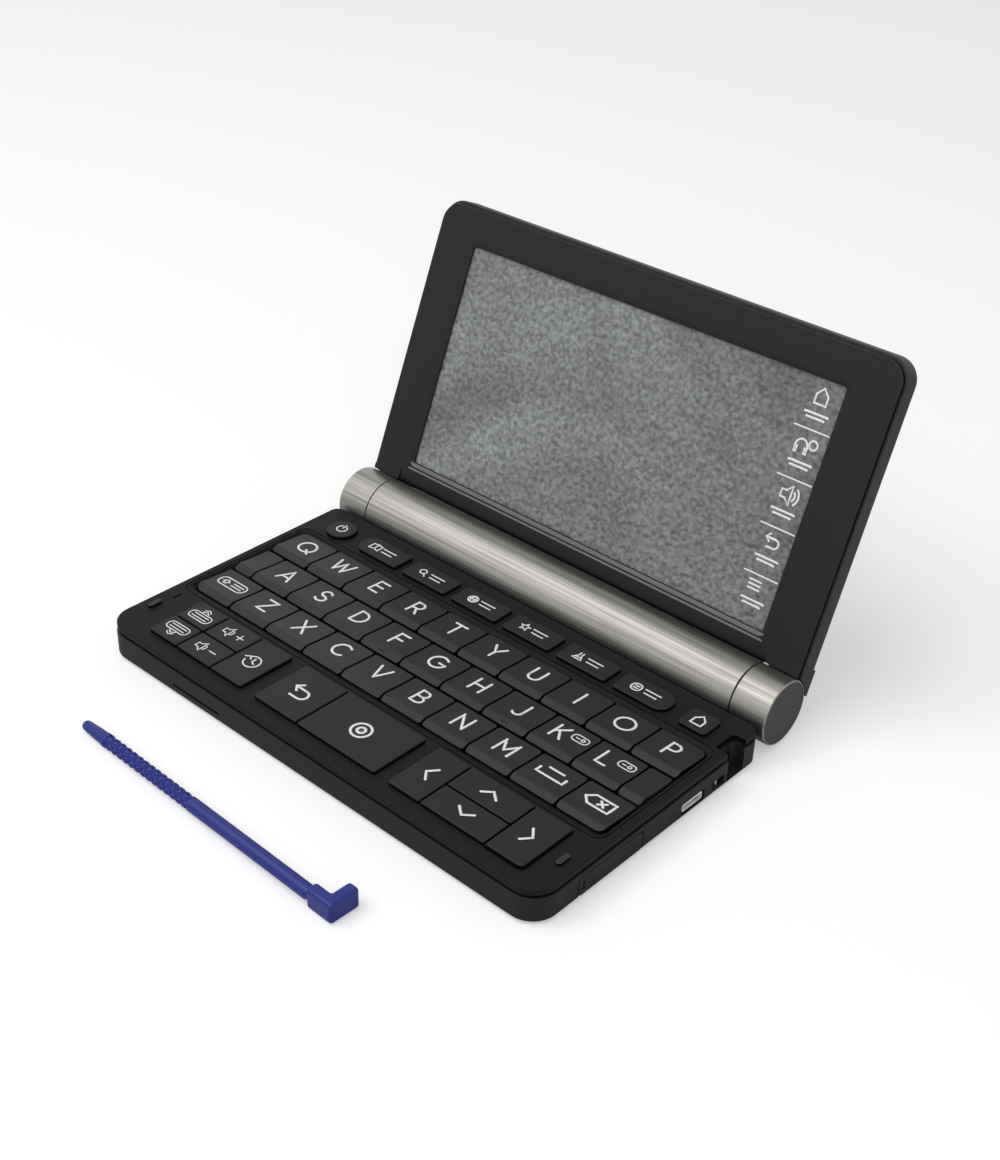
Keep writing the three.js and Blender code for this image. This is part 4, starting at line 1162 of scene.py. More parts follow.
LETTER_PATHS = {
    "a": [[(-0.39, 0), (0, 1), (0.39, 0)], [(-0.26, 0.32), (0.26, 0.32)]],
    "b": [[(-0.27, 0.52), (-0.27, 1), (0.03, 1), *bowl(0.03, 0.76, 0.24, 0.24), (-0.27, 0.52)],
          [(-0.27, 0.52), (0.05, 0.52), *bowl(0.05, 0.26, 0.28, 0.26), (-0.27, 0), (-0.27, 0.52)]],
    "c": [arc(0.03, 0.5, 0.46, 0.5, 48, 312, 22)],
    "d": [[(-0.34, 0), (-0.34, 1), (-0.08, 1), *bowl(-0.08, 0.5, 0.46, 0.5), (-0.34, 0)]],
    "e": [[(0.3, 1), (-0.28, 1), (-0.28, 0), (0.3, 0)], [(-0.28, 0.52), (0.24, 0.52)]],
    "f": [[(0.3, 1), (-0.26, 1), (-0.26, 0)], [(-0.26, 0.5), (0.22, 0.5)]],
    "g": [[*arc(0, 0.5, 0.47, 0.5, 48, 350, 24), (0.47, 0.46), (0.08, 0.46)]],
    "h": [[(-0.33, 0), (-0.33, 1)], [(0.33, 0), (0.33, 1)], [(-0.33, 0.52), (0.33, 0.52)]],
    "i": [[(0, 0), (0, 1)]],
    "j": [[(0.18, 1), (0.18, 0.28), *arc(-0.08, 0.28, 0.26, 0.28, 0, -140, 10)]],
    "k": [[(-0.27, 0), (-0.27, 1)], [(0.31, 1), (-0.27, 0.4)], [(-0.07, 0.6), (0.34, 0)]],
    "l": [[(-0.24, 1), (-0.24, 0), (0.3, 0)]],
    "m": [[(-0.42, 0), (-0.42, 1), (0, 0.28), (0.42, 1), (0.42, 0)]],
    "n": [[(-0.34, 0), (-0.34, 1), (0.34, 0), (0.34, 1)]],
    "o": [arc(0, 0.5, 0.5, 0.5, 0, 360, 30)],
    "p": [[(-0.26, 0), (-0.26, 1), (0.02, 1), *bowl(0.02, 0.72, 0.28, 0.28), (-0.26, 0.44)]],
    "q": [arc(0, 0.5, 0.5, 0.5, 0, 360, 30), [(0.14, 0.26), (0.46, -0.04)]],
    "r": [[(-0.26, 0), (-0.26, 1), (0.02, 1), *bowl(0.02, 0.73, 0.27, 0.27), (-0.26, 0.46)],
          [(0.04, 0.46), (0.33, 0)]],
    "s": [[*arc(0, 0.75, 0.27, 0.25, 30, 250, 12), *arc(0, 0.26, 0.3, 0.26, 75, -150, 13)]],
    "t": [[(-0.37, 1), (0.37, 1)], [(0, 1), (0, 0)]],
    "u": [[(-0.32, 1), (-0.32, 0.33), *arc(0, 0.33, 0.32, 0.33, 180, 360, 12), (0.32, 1)]],
    "v": [[(-0.37, 1), (0, 0), (0.37, 1)]],
    "w": [[(-0.53, 1), (-0.27, 0), (0, 0.9), (0.27, 0), (0.53, 1)]],
    "x": [[(-0.35, 1), (0.35, 0)], [(0.35, 1), (-0.35, 0)]],
    "y": [[(-0.35, 1), (0, 0.46), (0.35, 1)], [(0, 0.46), (0, 0)]],
    "z": [[(-0.32, 1), (0.32, 1), (-0.32, 0), (0.32, 0)]],
}


def scaled(paths, size, x=0.0, y=0.0):
    return [[(x + size * across, y + size * up) for across, up in path] for path in paths]


def pill(width, height, x=0.0, y=0.0):
    half_width, half_height = width / 2, height / 2
    radius = min(width, height) * 0.42
    box = (x - half_width, x + half_width, y - half_height, y + half_height)
    points = outline(*box, (radius,) * 4, 5)
    return [points + points[:1]]


def chevron(width, height, x=0.0, y=0.0, turn=0):
    """A bent line that points up, turned by quarter turns to the left."""
    path = [(-width / 2, -height / 2), (0, height / 2), (width / 2, -height / 2)]
    for _ in range(turn):
        path = [(-up, across) for across, up in path]
    return scaled([path], 1, x, y)


def bars(widths, pitch, x=0.0, y=0.0):
    """Short lines under each other, which stand for lines of writing."""
    top = y + pitch * (len(widths) - 1) / 2
    rows = [(width / 2, top - row * pitch) for row, width in enumerate(widths)]
    return [[(x - half, level), (x + half, level)] for half, level in rows]


def speaker(size, x=0.0, y=0.0):
    cone = [(-0.5, -0.22), (-0.2, -0.22), (0.15, -0.55), (0.15, 0.55),
            (-0.2, 0.22), (-0.5, 0.22), (-0.5, -0.22)]
    waves = [arc(0.15, 0, 0.26, 0.32, -50, 50, 6), arc(0.15, 0, 0.5, 0.58, -50, 50, 8)]
    return scaled([cone, *waves], size, x, y)


def house(size, x=0.0, y=0.0):
    walls = [(-0.42, -0.5), (-0.42, 0.08), (0, 0.52), (0.42, 0.08), (0.42, -0.5), (-0.42, -0.5)]
    return scaled([walls], size, x, y)


def back_arrow(size, x=0.0, y=0.0):
    """An arrow that comes from the right, turns round and points to the left."""
    sweep = [(-0.5, 0.22), (0.18, 0.22), *arc(0.18, -0.1, 0.32, 0.32, 90, -90, 8), (-0.3, -0.42)]
    return scaled([sweep, [(-0.26, 0.48), (-0.52, 0.22), (-0.26, -0.04)]], size, x, y)


def headphones(size, x=0.0, y=0.0):
    cups = [[(side * 0.46, -0.05), (side * 0.46, -0.45), (side * 0.3, -0.45), (side * 0.3, -0.08)]
            for side in (-1, 1)]
    return scaled([arc(0, -0.05, 0.46, 0.5, 0, 180, 12), *cups], size, x, y)


print(len(LETTER_PATHS), "letters drawn")

# %% [markdown]
# What the other keys do is shown by signs without writing: a clock for the history, a ring for
# enter, a pointed tag with a cross for delete, an open bracket for space. The six keys behind the
# letters start dictionaries, and each shows its own small sign next to two lines that stand for an
# entry.

# %% Signs of the keys
THIN = 0.34
FINE = 0.42
BROAD = 0.65
BOLD = 0.68
SHIFT_ARROW = [(-0.3, -0.5), (-0.3, 0), (-0.75, 0), (0, 0.75),
               (0.75, 0), (0.3, 0), (0.3, -0.5), (-0.3, -0.5)]
DELETE_TAG = [(-3.9, 0), (-2.1, 1.9), (3.7, 1.9), (3.7, -1.9), (-2.1, -1.9), (-3.9, 0)]
SPEAKER = speaker(3.4, -1.6, 0)[:2]


def page_sign(side):
    """A page under two chevrons, or over them when the side is -1."""
    turn = 1 - side
    page = pill(7.4, 2.9, 0, -side * 0.9) + bars((5.2, 5.2), 1.1, 0, -side * 0.9)
    return page + chevron(2.2, 0.7, 0, side * 1.35, turn) + chevron(2.2, 0.7, 0, side * 2.2, turn)


def star_sign():
    points = [((1.5, 0.7)[step % 2], math.radians(90 + 36 * step)) for step in range(11)]
    return [[(radius * math.cos(turn), radius * math.sin(turn)) for radius, turn in points]]


SIGNS = {
    "shift": (pill(9.6, 3.7) + scaled([SHIFT_ARROW], 1.5, -2.4, -0.1)
              + bars((3.6, 3.6), 1.15, 1.9), FINE),
    "space": ([[(-3.9, 0.6), (-3.9, -1.2), (3.9, -1.2), (3.9, 0.6)]] + bars((4.2,), 1.0, 0, 1.9), BOLD),
    "delete": ([DELETE_TAG, [(0.1, 0.8), (1.7, -0.8)], [(1.7, 0.8), (0.1, -0.8)]], BOLD),
    "previous": (page_sign(1), THIN),
    "next": (page_sign(-1), THIN),
    "volume_up": ([*SPEAKER, [(1.4, 0), (3.6, 0)], [(2.5, -1.1), (2.5, 1.1)]], THIN),
    "volume_down": ([*SPEAKER, [(1.4, 0), (3.6, 0)]], THIN),
    "history": ([arc(0, 0, 2.3, 2.3, 140, -170, 22), [(0, 1.3), (0, 0), (1.1, -0.6)],
                 [(-3.1, 0.6), (-2.0, 1.4), (-1.1, 0.5)]], FINE),
    "back": (back_arrow(5.4), BROAD),
    "enter": ([circle(2.6, 28), circle(1.1, 16), circle(0.5, 10)], BOLD),
    **{name: (chevron(4.6, 1.9, turn=turn), BROAD)
       for turn, name in enumerate(("up", "left", "down", "right"))},
    "home": (house(3.6), 0.5),
    "power": ([arc(0, 0, 1.5, 1.5, 120, 420, 18), [(0, 0.4), (0, 1.9)]], FINE),
}
FUNCTION_SIGNS = [
    [[(0, -0.9), (-1.6, -1.3), (-1.6, 1.0), (0, 1.3), (1.6, 1.0), (1.6, -1.3), (0, -0.9), (0, 1.3)]],
    [circle(1.0, 16, -0.3, 0.3), [(0.45, -0.45), (1.4, -1.4)]],
    [circle(1.4, 18), arc(0, 0, 0.6, 1.4, 0, 360, 16), [(-1.4, 0), (1.4, 0)]],
    star_sign(),
    [[(-0.45, 1.4), (-0.45, 0.3), (-1.4, -1.3), (1.4, -1.3), (0.45, 0.3), (0.45, 1.4)],
     [(-0.9, -0.5), (0.9, -0.5)]],
    pill(2.8, 2.8) + bars((1.3, 1.3), 0.9),
]
for place, sign in enumerate(FUNCTION_SIGNS):
    SIGNS[f"f{place + 1}"] = (scaled(sign, 1.0, -2.9) + bars((4.6, 3.6), 1.5, 1.8), FINE)
print(len(SIGNS), "signs")

# %% Printing tree
INK = 0.05
DISC_SHARE = 1.5
DISC_SIDES = 12
PATH_LIFT = 0.006
PATH_LEVELS = 6
SHARP_BEND = math.radians(35)
SAME_PLACE = 1e-6
GEOMETRY = {"Geometry": "Geometry"}


def finish_tree(build, target, made, finish):
    """Ends a tree: makes all instances real and gives them their finish."""
    real = build.add("GeometryNodeRealizeInstances", {"Geometry": made}).outputs[0]
    inked = build.add("GeometryNodeSetMaterial", {"Geometry": real, "Material": finish}).outputs[0]
    build.feed(target["Geometry"], inked)
    return build.tree


def print_tree():
    """Paths to print: flat strokes with a disc on every marked point, made real and inked."""
    inputs = {**GEOMETRY, "Width": "Float", "Thickness": "Float", "Ink": "Material"}
    build, source, target = new_group("GeometryNodeTree", "printed_strokes", inputs, GEOMETRY)
    paths = build.add("GeometryNodeMeshToCurve", {"Mesh": source["Geometry"]}).outputs[0]
    upright = build.add("GeometryNodeSetCurveNormal", {"Curve": paths}, mode="Z_UP").outputs[0]
    across = {"Width": source["Width"], "Height": source["Thickness"]}
    profile = build.add("GeometryNodeCurvePrimitiveQuadrilateral", across).outputs[0]
    along = {"Curve": upright, "Profile Curve": profile, "Fill Caps": True}
    strokes = build.add("GeometryNodeCurveToMesh", along).outputs[0]
    radius = build.math("MULTIPLY", source["Width"], 0.5)
    deep = build.math("MULTIPLY", source["Thickness"], DISC_SHARE)
    size = {"Radius": radius, "Depth": deep, "Vertices": DISC_SIDES}
    disc = build.add("GeometryNodeMeshCylinder", size).outputs["Mesh"]
    dot = build.add("GeometryNodeInputNamedAttribute", data_type="BOOLEAN")
    dot.inputs["Name"].default_value = "dot"
    places = {"Points": source["Geometry"], "Instance": disc, "Selection": dot.outputs["Attribute"]}
    dots = build.add("GeometryNodeInstanceOnPoints", places).outputs[0]
    both = build.add("GeometryNodeJoinGeometry", {"Geometry": strokes})
    build.feed(both.inputs["Geometry"], dots)
    return finish_tree(build, target, both.outputs[0], source["Ink"])


def grow(piece, tree, **values):
    """Runs a tree on a piece with named input values and keeps the mesh it makes."""
    modifier = piece.modifiers.new(tree.name, "NODES")
    modifier.node_group = tree
    sockets = {item.name: item.identifier
               for item in tree.interface.items_tree if item.in_out == "INPUT"}
    for name, value in values.items():
        modifier[sockets[name.title()]] = value
    return settle(piece)


def bends(before, here, after):
    """Whether a path turns sharply at a point."""
    first, second = (math.atan2(end[1] - start[1], end[0] - start[0])
                     for start, end in ((before, here), (here, after)))
    return abs(math.remainder(second - first, 2 * math.pi)) > SHARP_BEND


def path_mesh(name, paths, longest):
    """Edges along the paths, none longer than a limit; each path lies a hair above the last,
    and its ends and sharp bends are marked for a disc. All in millimetres."""
    bm = bmesh.new()
    dots = []
    for number, path in enumerate(paths):
        level = number % PATH_LEVELS * PATH_LIFT
        points = [path[0]]
        for start, end in zip(path, path[1:]):
            parts = max(1, math.ceil(math.dist(start, end) / longest))
            points += [tuple(a + (b - a) * part / parts for a, b in zip(start, end))
                       for part in range(1, parts + 1)]
        closed = math.dist(points[0], points[-1]) < SAME_PLACE
        inner = [bends(*three) for three in zip(points, points[1:], points[2:])]
        dots += [not closed or bends(points[-2], points[0], points[1]), *inner, not closed]
        verts = [bm.verts.new((x * MM, y * MM, level * MM)) for x, y in points]
        for pair in zip(verts, verts[1:]):
            bm.edges.new(pair)
    mesh = bpy.data.meshes.new(name)
    bm.to_mesh(mesh)
    bm.free()
    mesh.attributes.new("dot", "BOOLEAN", "POINT").data.foreach_set("value", dots)
    return new_object(name, mesh)


printing = print_tree()


def print_on(name, paths, width, body, height,
             place=None, longest=1.2, material=white_print):
    """Prints paths on a surface; height gives the surface's level at a point, in millimetres."""
    piece = path_mesh(name, paths, longest)
    grow(piece, printing, width=width * MM, thickness=INK * MM, ink=material)
    for vertex in piece.data.vertices:
        vertex.co.z += (height(vertex.co.x / MM, vertex.co.y / MM) + INK / 2) * MM
    if place is not None:
        piece.data.transform(place)
    return hand_over(piece, body)


print("printing tree:", len(printing.nodes), "nodes")

# %% Print on every key
LETTER_SIZE = 5.2
LETTER_TOP = 2.5
SIGN_TOP = 5.1
MARK_SHIFT = 2.1
MARK_TOP = 3.9
MARK_WIDTH = 0.35
TOUCH_HALF = 1.1
TOUCH_ROUND = 0.2
TOUCH_RISE = 0.22


def print_key(name, paths, width, height, ending=""):
    return print_on(f"print_{name}{ending}", paths, width, f"key_{name}", height)


def print_letter(name, box):
    """A letter stands a little behind the middle of its key; two have a mark at their right."""
    x = (box[0] + box[1]) / 2
    rear = box[3]

    def height(_, y):
        return cap_height(y, box[2], box[3])

    if name in SIGNS:
        paths, width = SIGNS[name]
        return print_key(name, scaled(paths, 1.0, x, rear - SIGN_TOP), width, height)
    if name in "kl":
        y = rear - MARK_TOP
        mark = pill(4.6, 2.5, x + 3.3, y) + bars((0.9,), 1, x + 2.5, y) + [circle(0.5, 8, x + 4.1, y)]
        print_key(name, mark, MARK_WIDTH, height, "_mark")
        x -= MARK_SHIFT
    paths = scaled(LETTER_PATHS[name], LETTER_SIZE, x, rear - LETTER_TOP - LETTER_SIZE)
    return print_key(name, paths, BOLD, height)


def print_plate_key(name, box):
    paths, width = SIGNS[name]
    middle = (box[0] + box[1]) / 2, (box[2] + box[3]) / 2
    return print_key(name, scaled(paths, 1.0, *middle), width, lambda *_: DECK_KEY_TOP)


def touch_bar(name):
    """Raised bar on the lip of the two keys that the pointing fingers rest on."""
    x0, x1, y0, y1 = letters[name][0]
    x, y = (x0 + x1) / 2, y0 + 1.0
    low = cap_height(y, y0, y1)
    sides = (x - TOUCH_HALF, x + TOUCH_HALF, y - TOUCH_ROUND, y + TOUCH_ROUND)
    piece = block(f"bar_{name}", *sides, low - 0.2, low + TOUCH_RISE, (TOUCH_ROUND,) * 4)
    return finish_piece(piece, key_plastic, f"key_{name}", "key_plastic")


prints = [print_letter(name, box) for name, (box, _) in letters.items()]
prints += [print_plate_key(name, box) for name, (box, _) in plate_keys.items()]
for name in "fj":
    touch_bar(name)
print(len(prints), "printed keys,", sum(len(piece.data.polygons) for piece in prints), "faces of print")

# %% [markdown]
# ## Barrel
#
# The middle of the barrel is fixed to the base and holds two cells. Its ends turn with the lid on
# short pins. All of it is turned metal, so a lathe profile gives each piece; the battery bay and
# the opening for its cover are carved out of the middle tube.

# %% Centre barrel, battery cover and cells
BAY_RADIUS = 7.6
BAY_HALF = 50.6
DOOR_ANGLE = -60
DOOR_HALF = 73
DOOR_GAP = 0.3
DOOR_EDGE = 0.15
EDGE_TURN = 0.25
PIN_RADIUS = 3.0
PIN_LENGTH = 5.6
PIN_GAP = 0.3
GRIP_GROOVES = 9
GRIP_PITCH = 1.6
GRIP_DEPTH = 0.22
CELL_RADIUS = 7.05
CELL_LENGTH = 50.2
POLE_RADIUS = 2.7
POLE_LENGTH = 1.0


def around_hinge(radius, degrees):
    turn = math.radians(degrees)
    return HINGE_Y + radius * math.cos(turn), HINGE_Z + radius * math.sin(turn)


def door_cut():
    """Cutter like a slice of cake that opens the tube where the cover sits."""
    edge = [around_hinge(2 * BARREL_RADIUS, DOOR_ANGLE + DOOR_HALF * (step / 12 - 1))
            for step in range(25)]
    return across_x("door_cut", [([(HINGE_Y, HINGE_Z), *edge], x) for x in (-BAY_HALF, BAY_HALF)])


def rod(name, start, end, radius, edge=0.0, steps=96):
    turns = quarter(edge, 4) if edge else [(0, 0)]
    head = [(start + below, radius - by) for by, below in reversed(turns)]
    tail = [(end - below, radius - by) for by, below in turns]
    return turned(name, [(start, 0), *head, *tail, (end, 0)], steps=steps)


def centre_tube():
    piece = rod("barrel_tube", -CENTRE_HALF, CENTRE_HALF, BARREL_RADIUS, EDGE_TURN)
    carve(piece, rod("bay", -BAY_HALF, BAY_HALF, BAY_RADIUS))
    carve(piece, door_cut())
    inner, outer = CENTRE_HALF - PIN_LENGTH - PIN_GAP, CENTRE_HALF + OVERRUN
    carve(piece, rod("left_bore", -outer, -inner, PIN_RADIUS + PIN_GAP, steps=48),
          rod("right_bore", inner, outer, PIN_RADIUS + PIN_GAP, steps=48))
    return finish_piece(piece, barrel_metal, "base", "barrel_metal", "centre_barrel")


def saddle():
    """Plastic fillet in front of the tube, from the case's rear wall up to the deck."""
    front = case.y1 + 0.3
    tube = HINGE_Y - BARREL_RADIUS
    points = [(front, 2.4), (front + 2.1, 2.4), (tube + 0.6, HINGE_Z - 1.5), (tube + 0.15, DECK_TOP),
              (front + 0.15, DECK_TOP), (front, DECK_TOP - 0.15)]
    piece = across_x("barrel_saddle", [(points, -CENTRE_HALF), (points, CENTRE_HALF)])
    return finish_piece(piece, deck_plastic, "base", "deck_plastic")


def door_ring(outer, steps=48):
    """Cross-section of the cover: a strip of the tube's wall."""
    half = DOOR_HALF - math.degrees(DOOR_GAP / BARREL_RADIUS)
    turns = [DOOR_ANGLE + half * (2 * step / steps - 1) for step in range(steps + 1)]
    inside = [around_hinge(BAY_RADIUS, turn) for turn in reversed(turns)]
    return [around_hinge(outer, turn) for turn in turns] + inside


def battery_door():
    """The cover, with shallow grooves across its middle for the thumb that pushes it off."""
    end = BAY_HALF - DOOR_GAP
    stations = [(-end, DOOR_EDGE), (-end + DOOR_EDGE, 0)]
    for number in range(GRIP_GROOVES):
        x = (number - (GRIP_GROOVES - 1) / 2) * GRIP_PITCH
        stations += [(x - 0.4, 0), (x - 0.25, GRIP_DEPTH), (x + 0.25, GRIP_DEPTH), (x + 0.4, 0)]
    stations += [(end - DOOR_EDGE, 0), (end, DOOR_EDGE)]
    piece = across_x("battery_door", [(door_ring(BARREL_RADIUS - depth), x) for x, depth in stations])
    return finish_piece(piece, barrel_metal, "battery_cover", "barrel_metal", "battery_cover")


def battery_cell(name, start, end, *nodes):
    """A cell with a rolled rim at both ends of its sleeve and a pole at its right."""
    body = end - POLE_LENGTH
    profile = [(start + 0.02, -1.2), (start + 0.5, -0.4), (start + 1.2, -0.15), (start + 1.25, 0),
               (body - 0.9, 0), (body - 0.85, -0.15), (body, -1.4)]
    sleeve = [(x, CELL_RADIUS + step) for x, step in profile]
    pole = [(body + 0.01, POLE_RADIUS), (end - 0.2, POLE_RADIUS), (end, POLE_RADIUS - 0.25), (end, 0)]
    piece = turned(name, [(start + 0.02, 0), *sleeve, *pole], steps=64)
    return finish_piece(piece, steel, "base", "cell_can", *nodes)


tube = centre_tube()
saddle()
door = battery_door()
battery_cell("cell_1", -CELL_LENGTH, -0.05, "battery_pair")
battery_cell("cell_2", 0, CELL_LENGTH)
print("barrel:", len(tube.data.polygons), "faces, door:", len(door.data.polygons), "faces")

# %% Turning ends of the barrel
END_HALF = right_drum.x1
END_EDGE = 0.3
DRUM_START = 63.75
RIM = 0.45
CAP_SINK = 0.15


def drum(side, name):
    """One end of the barrel with its pin, and the flat metal face in its rim."""
    pin = DRUM_START - PIN_LENGTH
    profile = [(pin, 0), (pin, PIN_RADIUS), (DRUM_START, PIN_RADIUS),
               (DRUM_START, BARREL_RADIUS - EDGE_TURN)]
    inner = list(reversed(quarter(EDGE_TURN, 3)))[1:]
    profile += [(DRUM_START + below, BARREL_RADIUS - by) for by, below in inner]
    profile += [(END_HALF - below, BARREL_RADIUS - by) for by, below in quarter(END_EDGE, 4)]
    sunk, within = END_HALF - CAP_SINK, BARREL_RADIUS - RIM
    profile += [(END_HALF, within), (sunk, within), (sunk, 0)]
    piece = turned(f"{name}_drum", [(side * x, radius) for x, radius in profile])
    finish_piece(piece, barrel_metal, "lid", "barrel_metal", f"{name}_hinge_knuckle")
    back, bevel, face = END_HALF - 0.5, END_HALF - 0.1, END_HALF - 0.06
    profile = [(back, 0), (back, within - 0.02), (bevel, within - 0.02),
               (face, within - 0.08), (face, 0)]
    disc = turned(f"{name}_end_face", [(side * x, radius) for x, radius in profile])
    finish_piece(disc, end_metal, "lid", "barrel_metal")
    return piece


drums = [drum(-1, "left"), drum(1, "right")]
print("drums:", [len(piece.data.polygons) for piece in drums])

# %% [markdown]
# ## Lid
#
# The lid is drawn flat: X across, Y up the screen and Z towards the user, with the hinge axis at
# the origin. One matrix then leans it back about that axis. The back shell is a shallow dish with
# a rounded rim, the bezel is a frame with a bevelled window, and the screen lies in the pocket
# between them.

# %% Back shell
LEAN = 68.43
LID_FOOT = BARREL_RADIUS + 0.5
LID_HEAD = 89.19
SHELL_RIM = -3.0
SHELL_EDGE = 0.35
SHELL_WALL = 1.5
SHELL_FLOOR = 1.9
LID_BACK = -9.3
LID_ROUND = 6.0
BACK_ROUND = 1.48
FOOT_ROUND = 1.2
EAR_START = 3.6
EAR_X = 63.9
DRUM_GAP = 0.3
lid_place = shift_by(0, HINGE_Y, HINGE_Z) @ turn_about("X", LEAN)


def leaned(piece):
    piece.data.transform(lid_place)
    return piece


def drum_space():
    """Cutter that keeps the lid clear of the barrel."""
    radius = BARREL_RADIUS + DRUM_GAP
    return turned("drum_space", [(-80, 0), (-80, radius), (80, radius), (80, 0)], 0, 0)


def add_ears(piece, low, high, start, inset):
    """Fuses the two corners that reach down beside the barrel, and clears the barrel."""
    rows = (start, LID_FOOT + FOOT_ROUND, low, high)
    fuse(piece, block("right_ear", EAR_X, case.x1 - inset, *rows))
    fuse(piece, block("left_ear", -case.x1 + inset, -EAR_X, *rows))
    return piece


def lid_plan(side, head, radius):
    """Outline of the lid drawn in at its sides and its head."""
    sides = (-case.x1 + side, case.x1 - side, LID_FOOT, LID_HEAD - head)
    return outline(*sides, (radius, radius, FOOT_ROUND, FOOT_ROUND), 12)


def shell_plan(by):
    return lid_plan(by, by, max(LID_ROUND - by, 0.5))


def back_shell():
    rings = [(shell_plan(by), LID_BACK + below) for by, below in reversed(quarter(BACK_ROUND, 8)[1:])]
    rings += [(shell_plan(below), SHELL_RIM - by) for by, below in reversed(quarter(SHELL_EDGE))]
    piece = skin("back_shell", rings)
    pocket = grown((-case.x1, case.x1, LID_FOOT, LID_HEAD), -SHELL_WALL)
    carve(piece, block("pocket", *pocket, LID_BACK + SHELL_FLOOR, 3, (4.5, 4.5, 1.2, 1.2)))
    add_ears(piece, LID_BACK, SHELL_RIM, EAR_START, 0)
    carve(piece, drum_space())
    return finish_piece(leaned(piece), shell_plastic, "lid", "body_plastic", "lid_back_cover")


shell_piece = back_shell()
print("back shell:", len(shell_piece.data.polygons), "faces")

# %% Bezel and screen
BEZEL_FACE = -1.8
BEZEL_BACK = -2.7
BEZEL_SIDE = 0.4
BEZEL_HEAD = 0.9
BEZEL_EDGE = 0.4
GLASS_HALF = 60.33
GLASS_FOOT = 15.37
GLASS_HEAD = 78.47
GLASS_BOX = (-GLASS_HALF, GLASS_HALF, GLASS_FOOT, GLASS_HEAD)
GLASS_BORDER = 1.5
WINDOW_BEVEL = 1.5
WINDOW_ROUND = 0.8
BAR_FALL = 0.6
LIP_FACE = -1.2


def bezel_plan(by):
    return lid_plan(BEZEL_SIDE + by, BEZEL_HEAD + by, LID_ROUND - BEZEL_SIDE - by)


def window_cut():
    sill, wide = (rounded(GLASS_BOX, -by, (WINDOW_ROUND,) * 4) for by in (0, WINDOW_BEVEL))
    return skin("window_cut", [(sill, BEZEL_BACK - 3), (sill, BEZEL_BACK + 0.35), (wide, BEZEL_FACE),
                               (wide, BEZEL_FACE + OVERRUN)])


def bar_slope():
    """Cutter that lets the lower bar fall back towards the barrel."""
    start, end = GLASS_FOOT - 2.4, LID_FOOT - 3
    above, below = BEZEL_FACE + OVERRUN, BEZEL_FACE - BAR_FALL
    points = [(start, BEZEL_FACE), (start, above), (end, above), (end, below), (LID_FOOT, below)]
    return across_x("bar_slope", [(points, -EAR_X), (points, EAR_X)])


def bezel():
    rings = [(bezel_plan(by), BEZEL_FACE - below) for by, below in quarter(BEZEL_EDGE)]
    piece = skin("bezel", [(bezel_plan(0), BEZEL_BACK), *rings])
    add_ears(piece, BEZEL_BACK, BEZEL_FACE, BARREL_RADIUS - 0.9, BEZEL_SIDE)
    for cutter in (window_cut(), bar_slope(), drum_space()):
        carve(piece, cutter)
    finish_piece(leaned(piece), bezel_plastic, "lid", "bezel_plastic", "lid_bezel")
    # Painted shade: the bezel's upright walls, such as the window's sill, get the near-black plastic.
    return paint_shade_on_walls(piece, up=lid_place.to_3x3() @ Vector((0, 0, 1)))


def gap_strip():
    """Near-black strip of painted shade on the lid that closes the gap to the barrel."""
    sides = (-EAR_X + 0.1, EAR_X - 0.1, BARREL_RADIUS + 0.05, LID_FOOT - 0.02)
    piece = block("gap_strip", *sides, LID_BACK + 1.5, LIP_FACE)
    return finish_piece(leaned(piece), inner_plastic, "lid", "bezel_plastic")


def screen():
    piece = block("screen", *grown(GLASS_BOX, GLASS_BORDER), SHELL_RIM - 2, SHELL_RIM)
    return finish_piece(leaned(piece), film, "lid", "screen_glass", "display_panel")


bezel_piece = bezel()
gap_strip()
screen()
print("bezel:", len(bezel_piece.data.polygons), "faces")

# %% [markdown]
# ## Small things on the base
#
# The cover of the card slot, the metal of the connector, the screws and the feet are small, but
# they are what tells a real product from a block. Each sits in the opening that the case already
# has for it.

# %% Card slot cover
COVER_THICK = 1.2
COVER_ROUND = 1.0
COVER_EDGE = 0.15


def in_wall(piece, depth):
    """Turns a solid drawn in Y and Z, with its depth as height, to stand in the right wall."""
    for vertex in piece.data.vertices:
        y, z, x = vertex.co
        vertex.co = (x + (case.x1 - depth) * MM, y, z)
    return piece


def card_cover():
    """The cover, with a groove for the nail that pulls it out."""
    radii = (COVER_ROUND,) * 4
    rings = [(rounded(COVER_BOX, 0, radii, 6), 0)]
    rings += [(rounded(COVER_BOX, by, radii, 6), COVER_THICK - below)
              for by, below in quarter(COVER_EDGE, 3)]
    piece = in_wall(skin("card_cover", rings), COVER_THICK)
    groove = (COVER.y0 + 1.2, COVER.y0 + 1.9, COVER.z0 + 1.2, COVER.z1 - 1.2)
    carve(piece, in_wall(block("nail", *groove, 0.9, 3), COVER_THICK))
    return finish_piece(piece, body_plastic, "card_slot_cover", "body_plastic", "card_slot_cover")


cover_piece = card_cover()
print("card cover:", len(cover_piece.data.polygons), "faces")

# %% [markdown]
# The connector is a folded steel shell with a tongue. Its front edge is bright, because the light
# comes from above. A steel pin crosses the strap hole.

# %% Connector and strap pin
CONNECTOR_DEPTH = 5.0
CONNECTOR_INSET = 0.5
CONNECTOR_WALL = 0.35
CONNECTOR_RADII = (0.7,) * 4
STRAP_PIN_HALF = 0.45


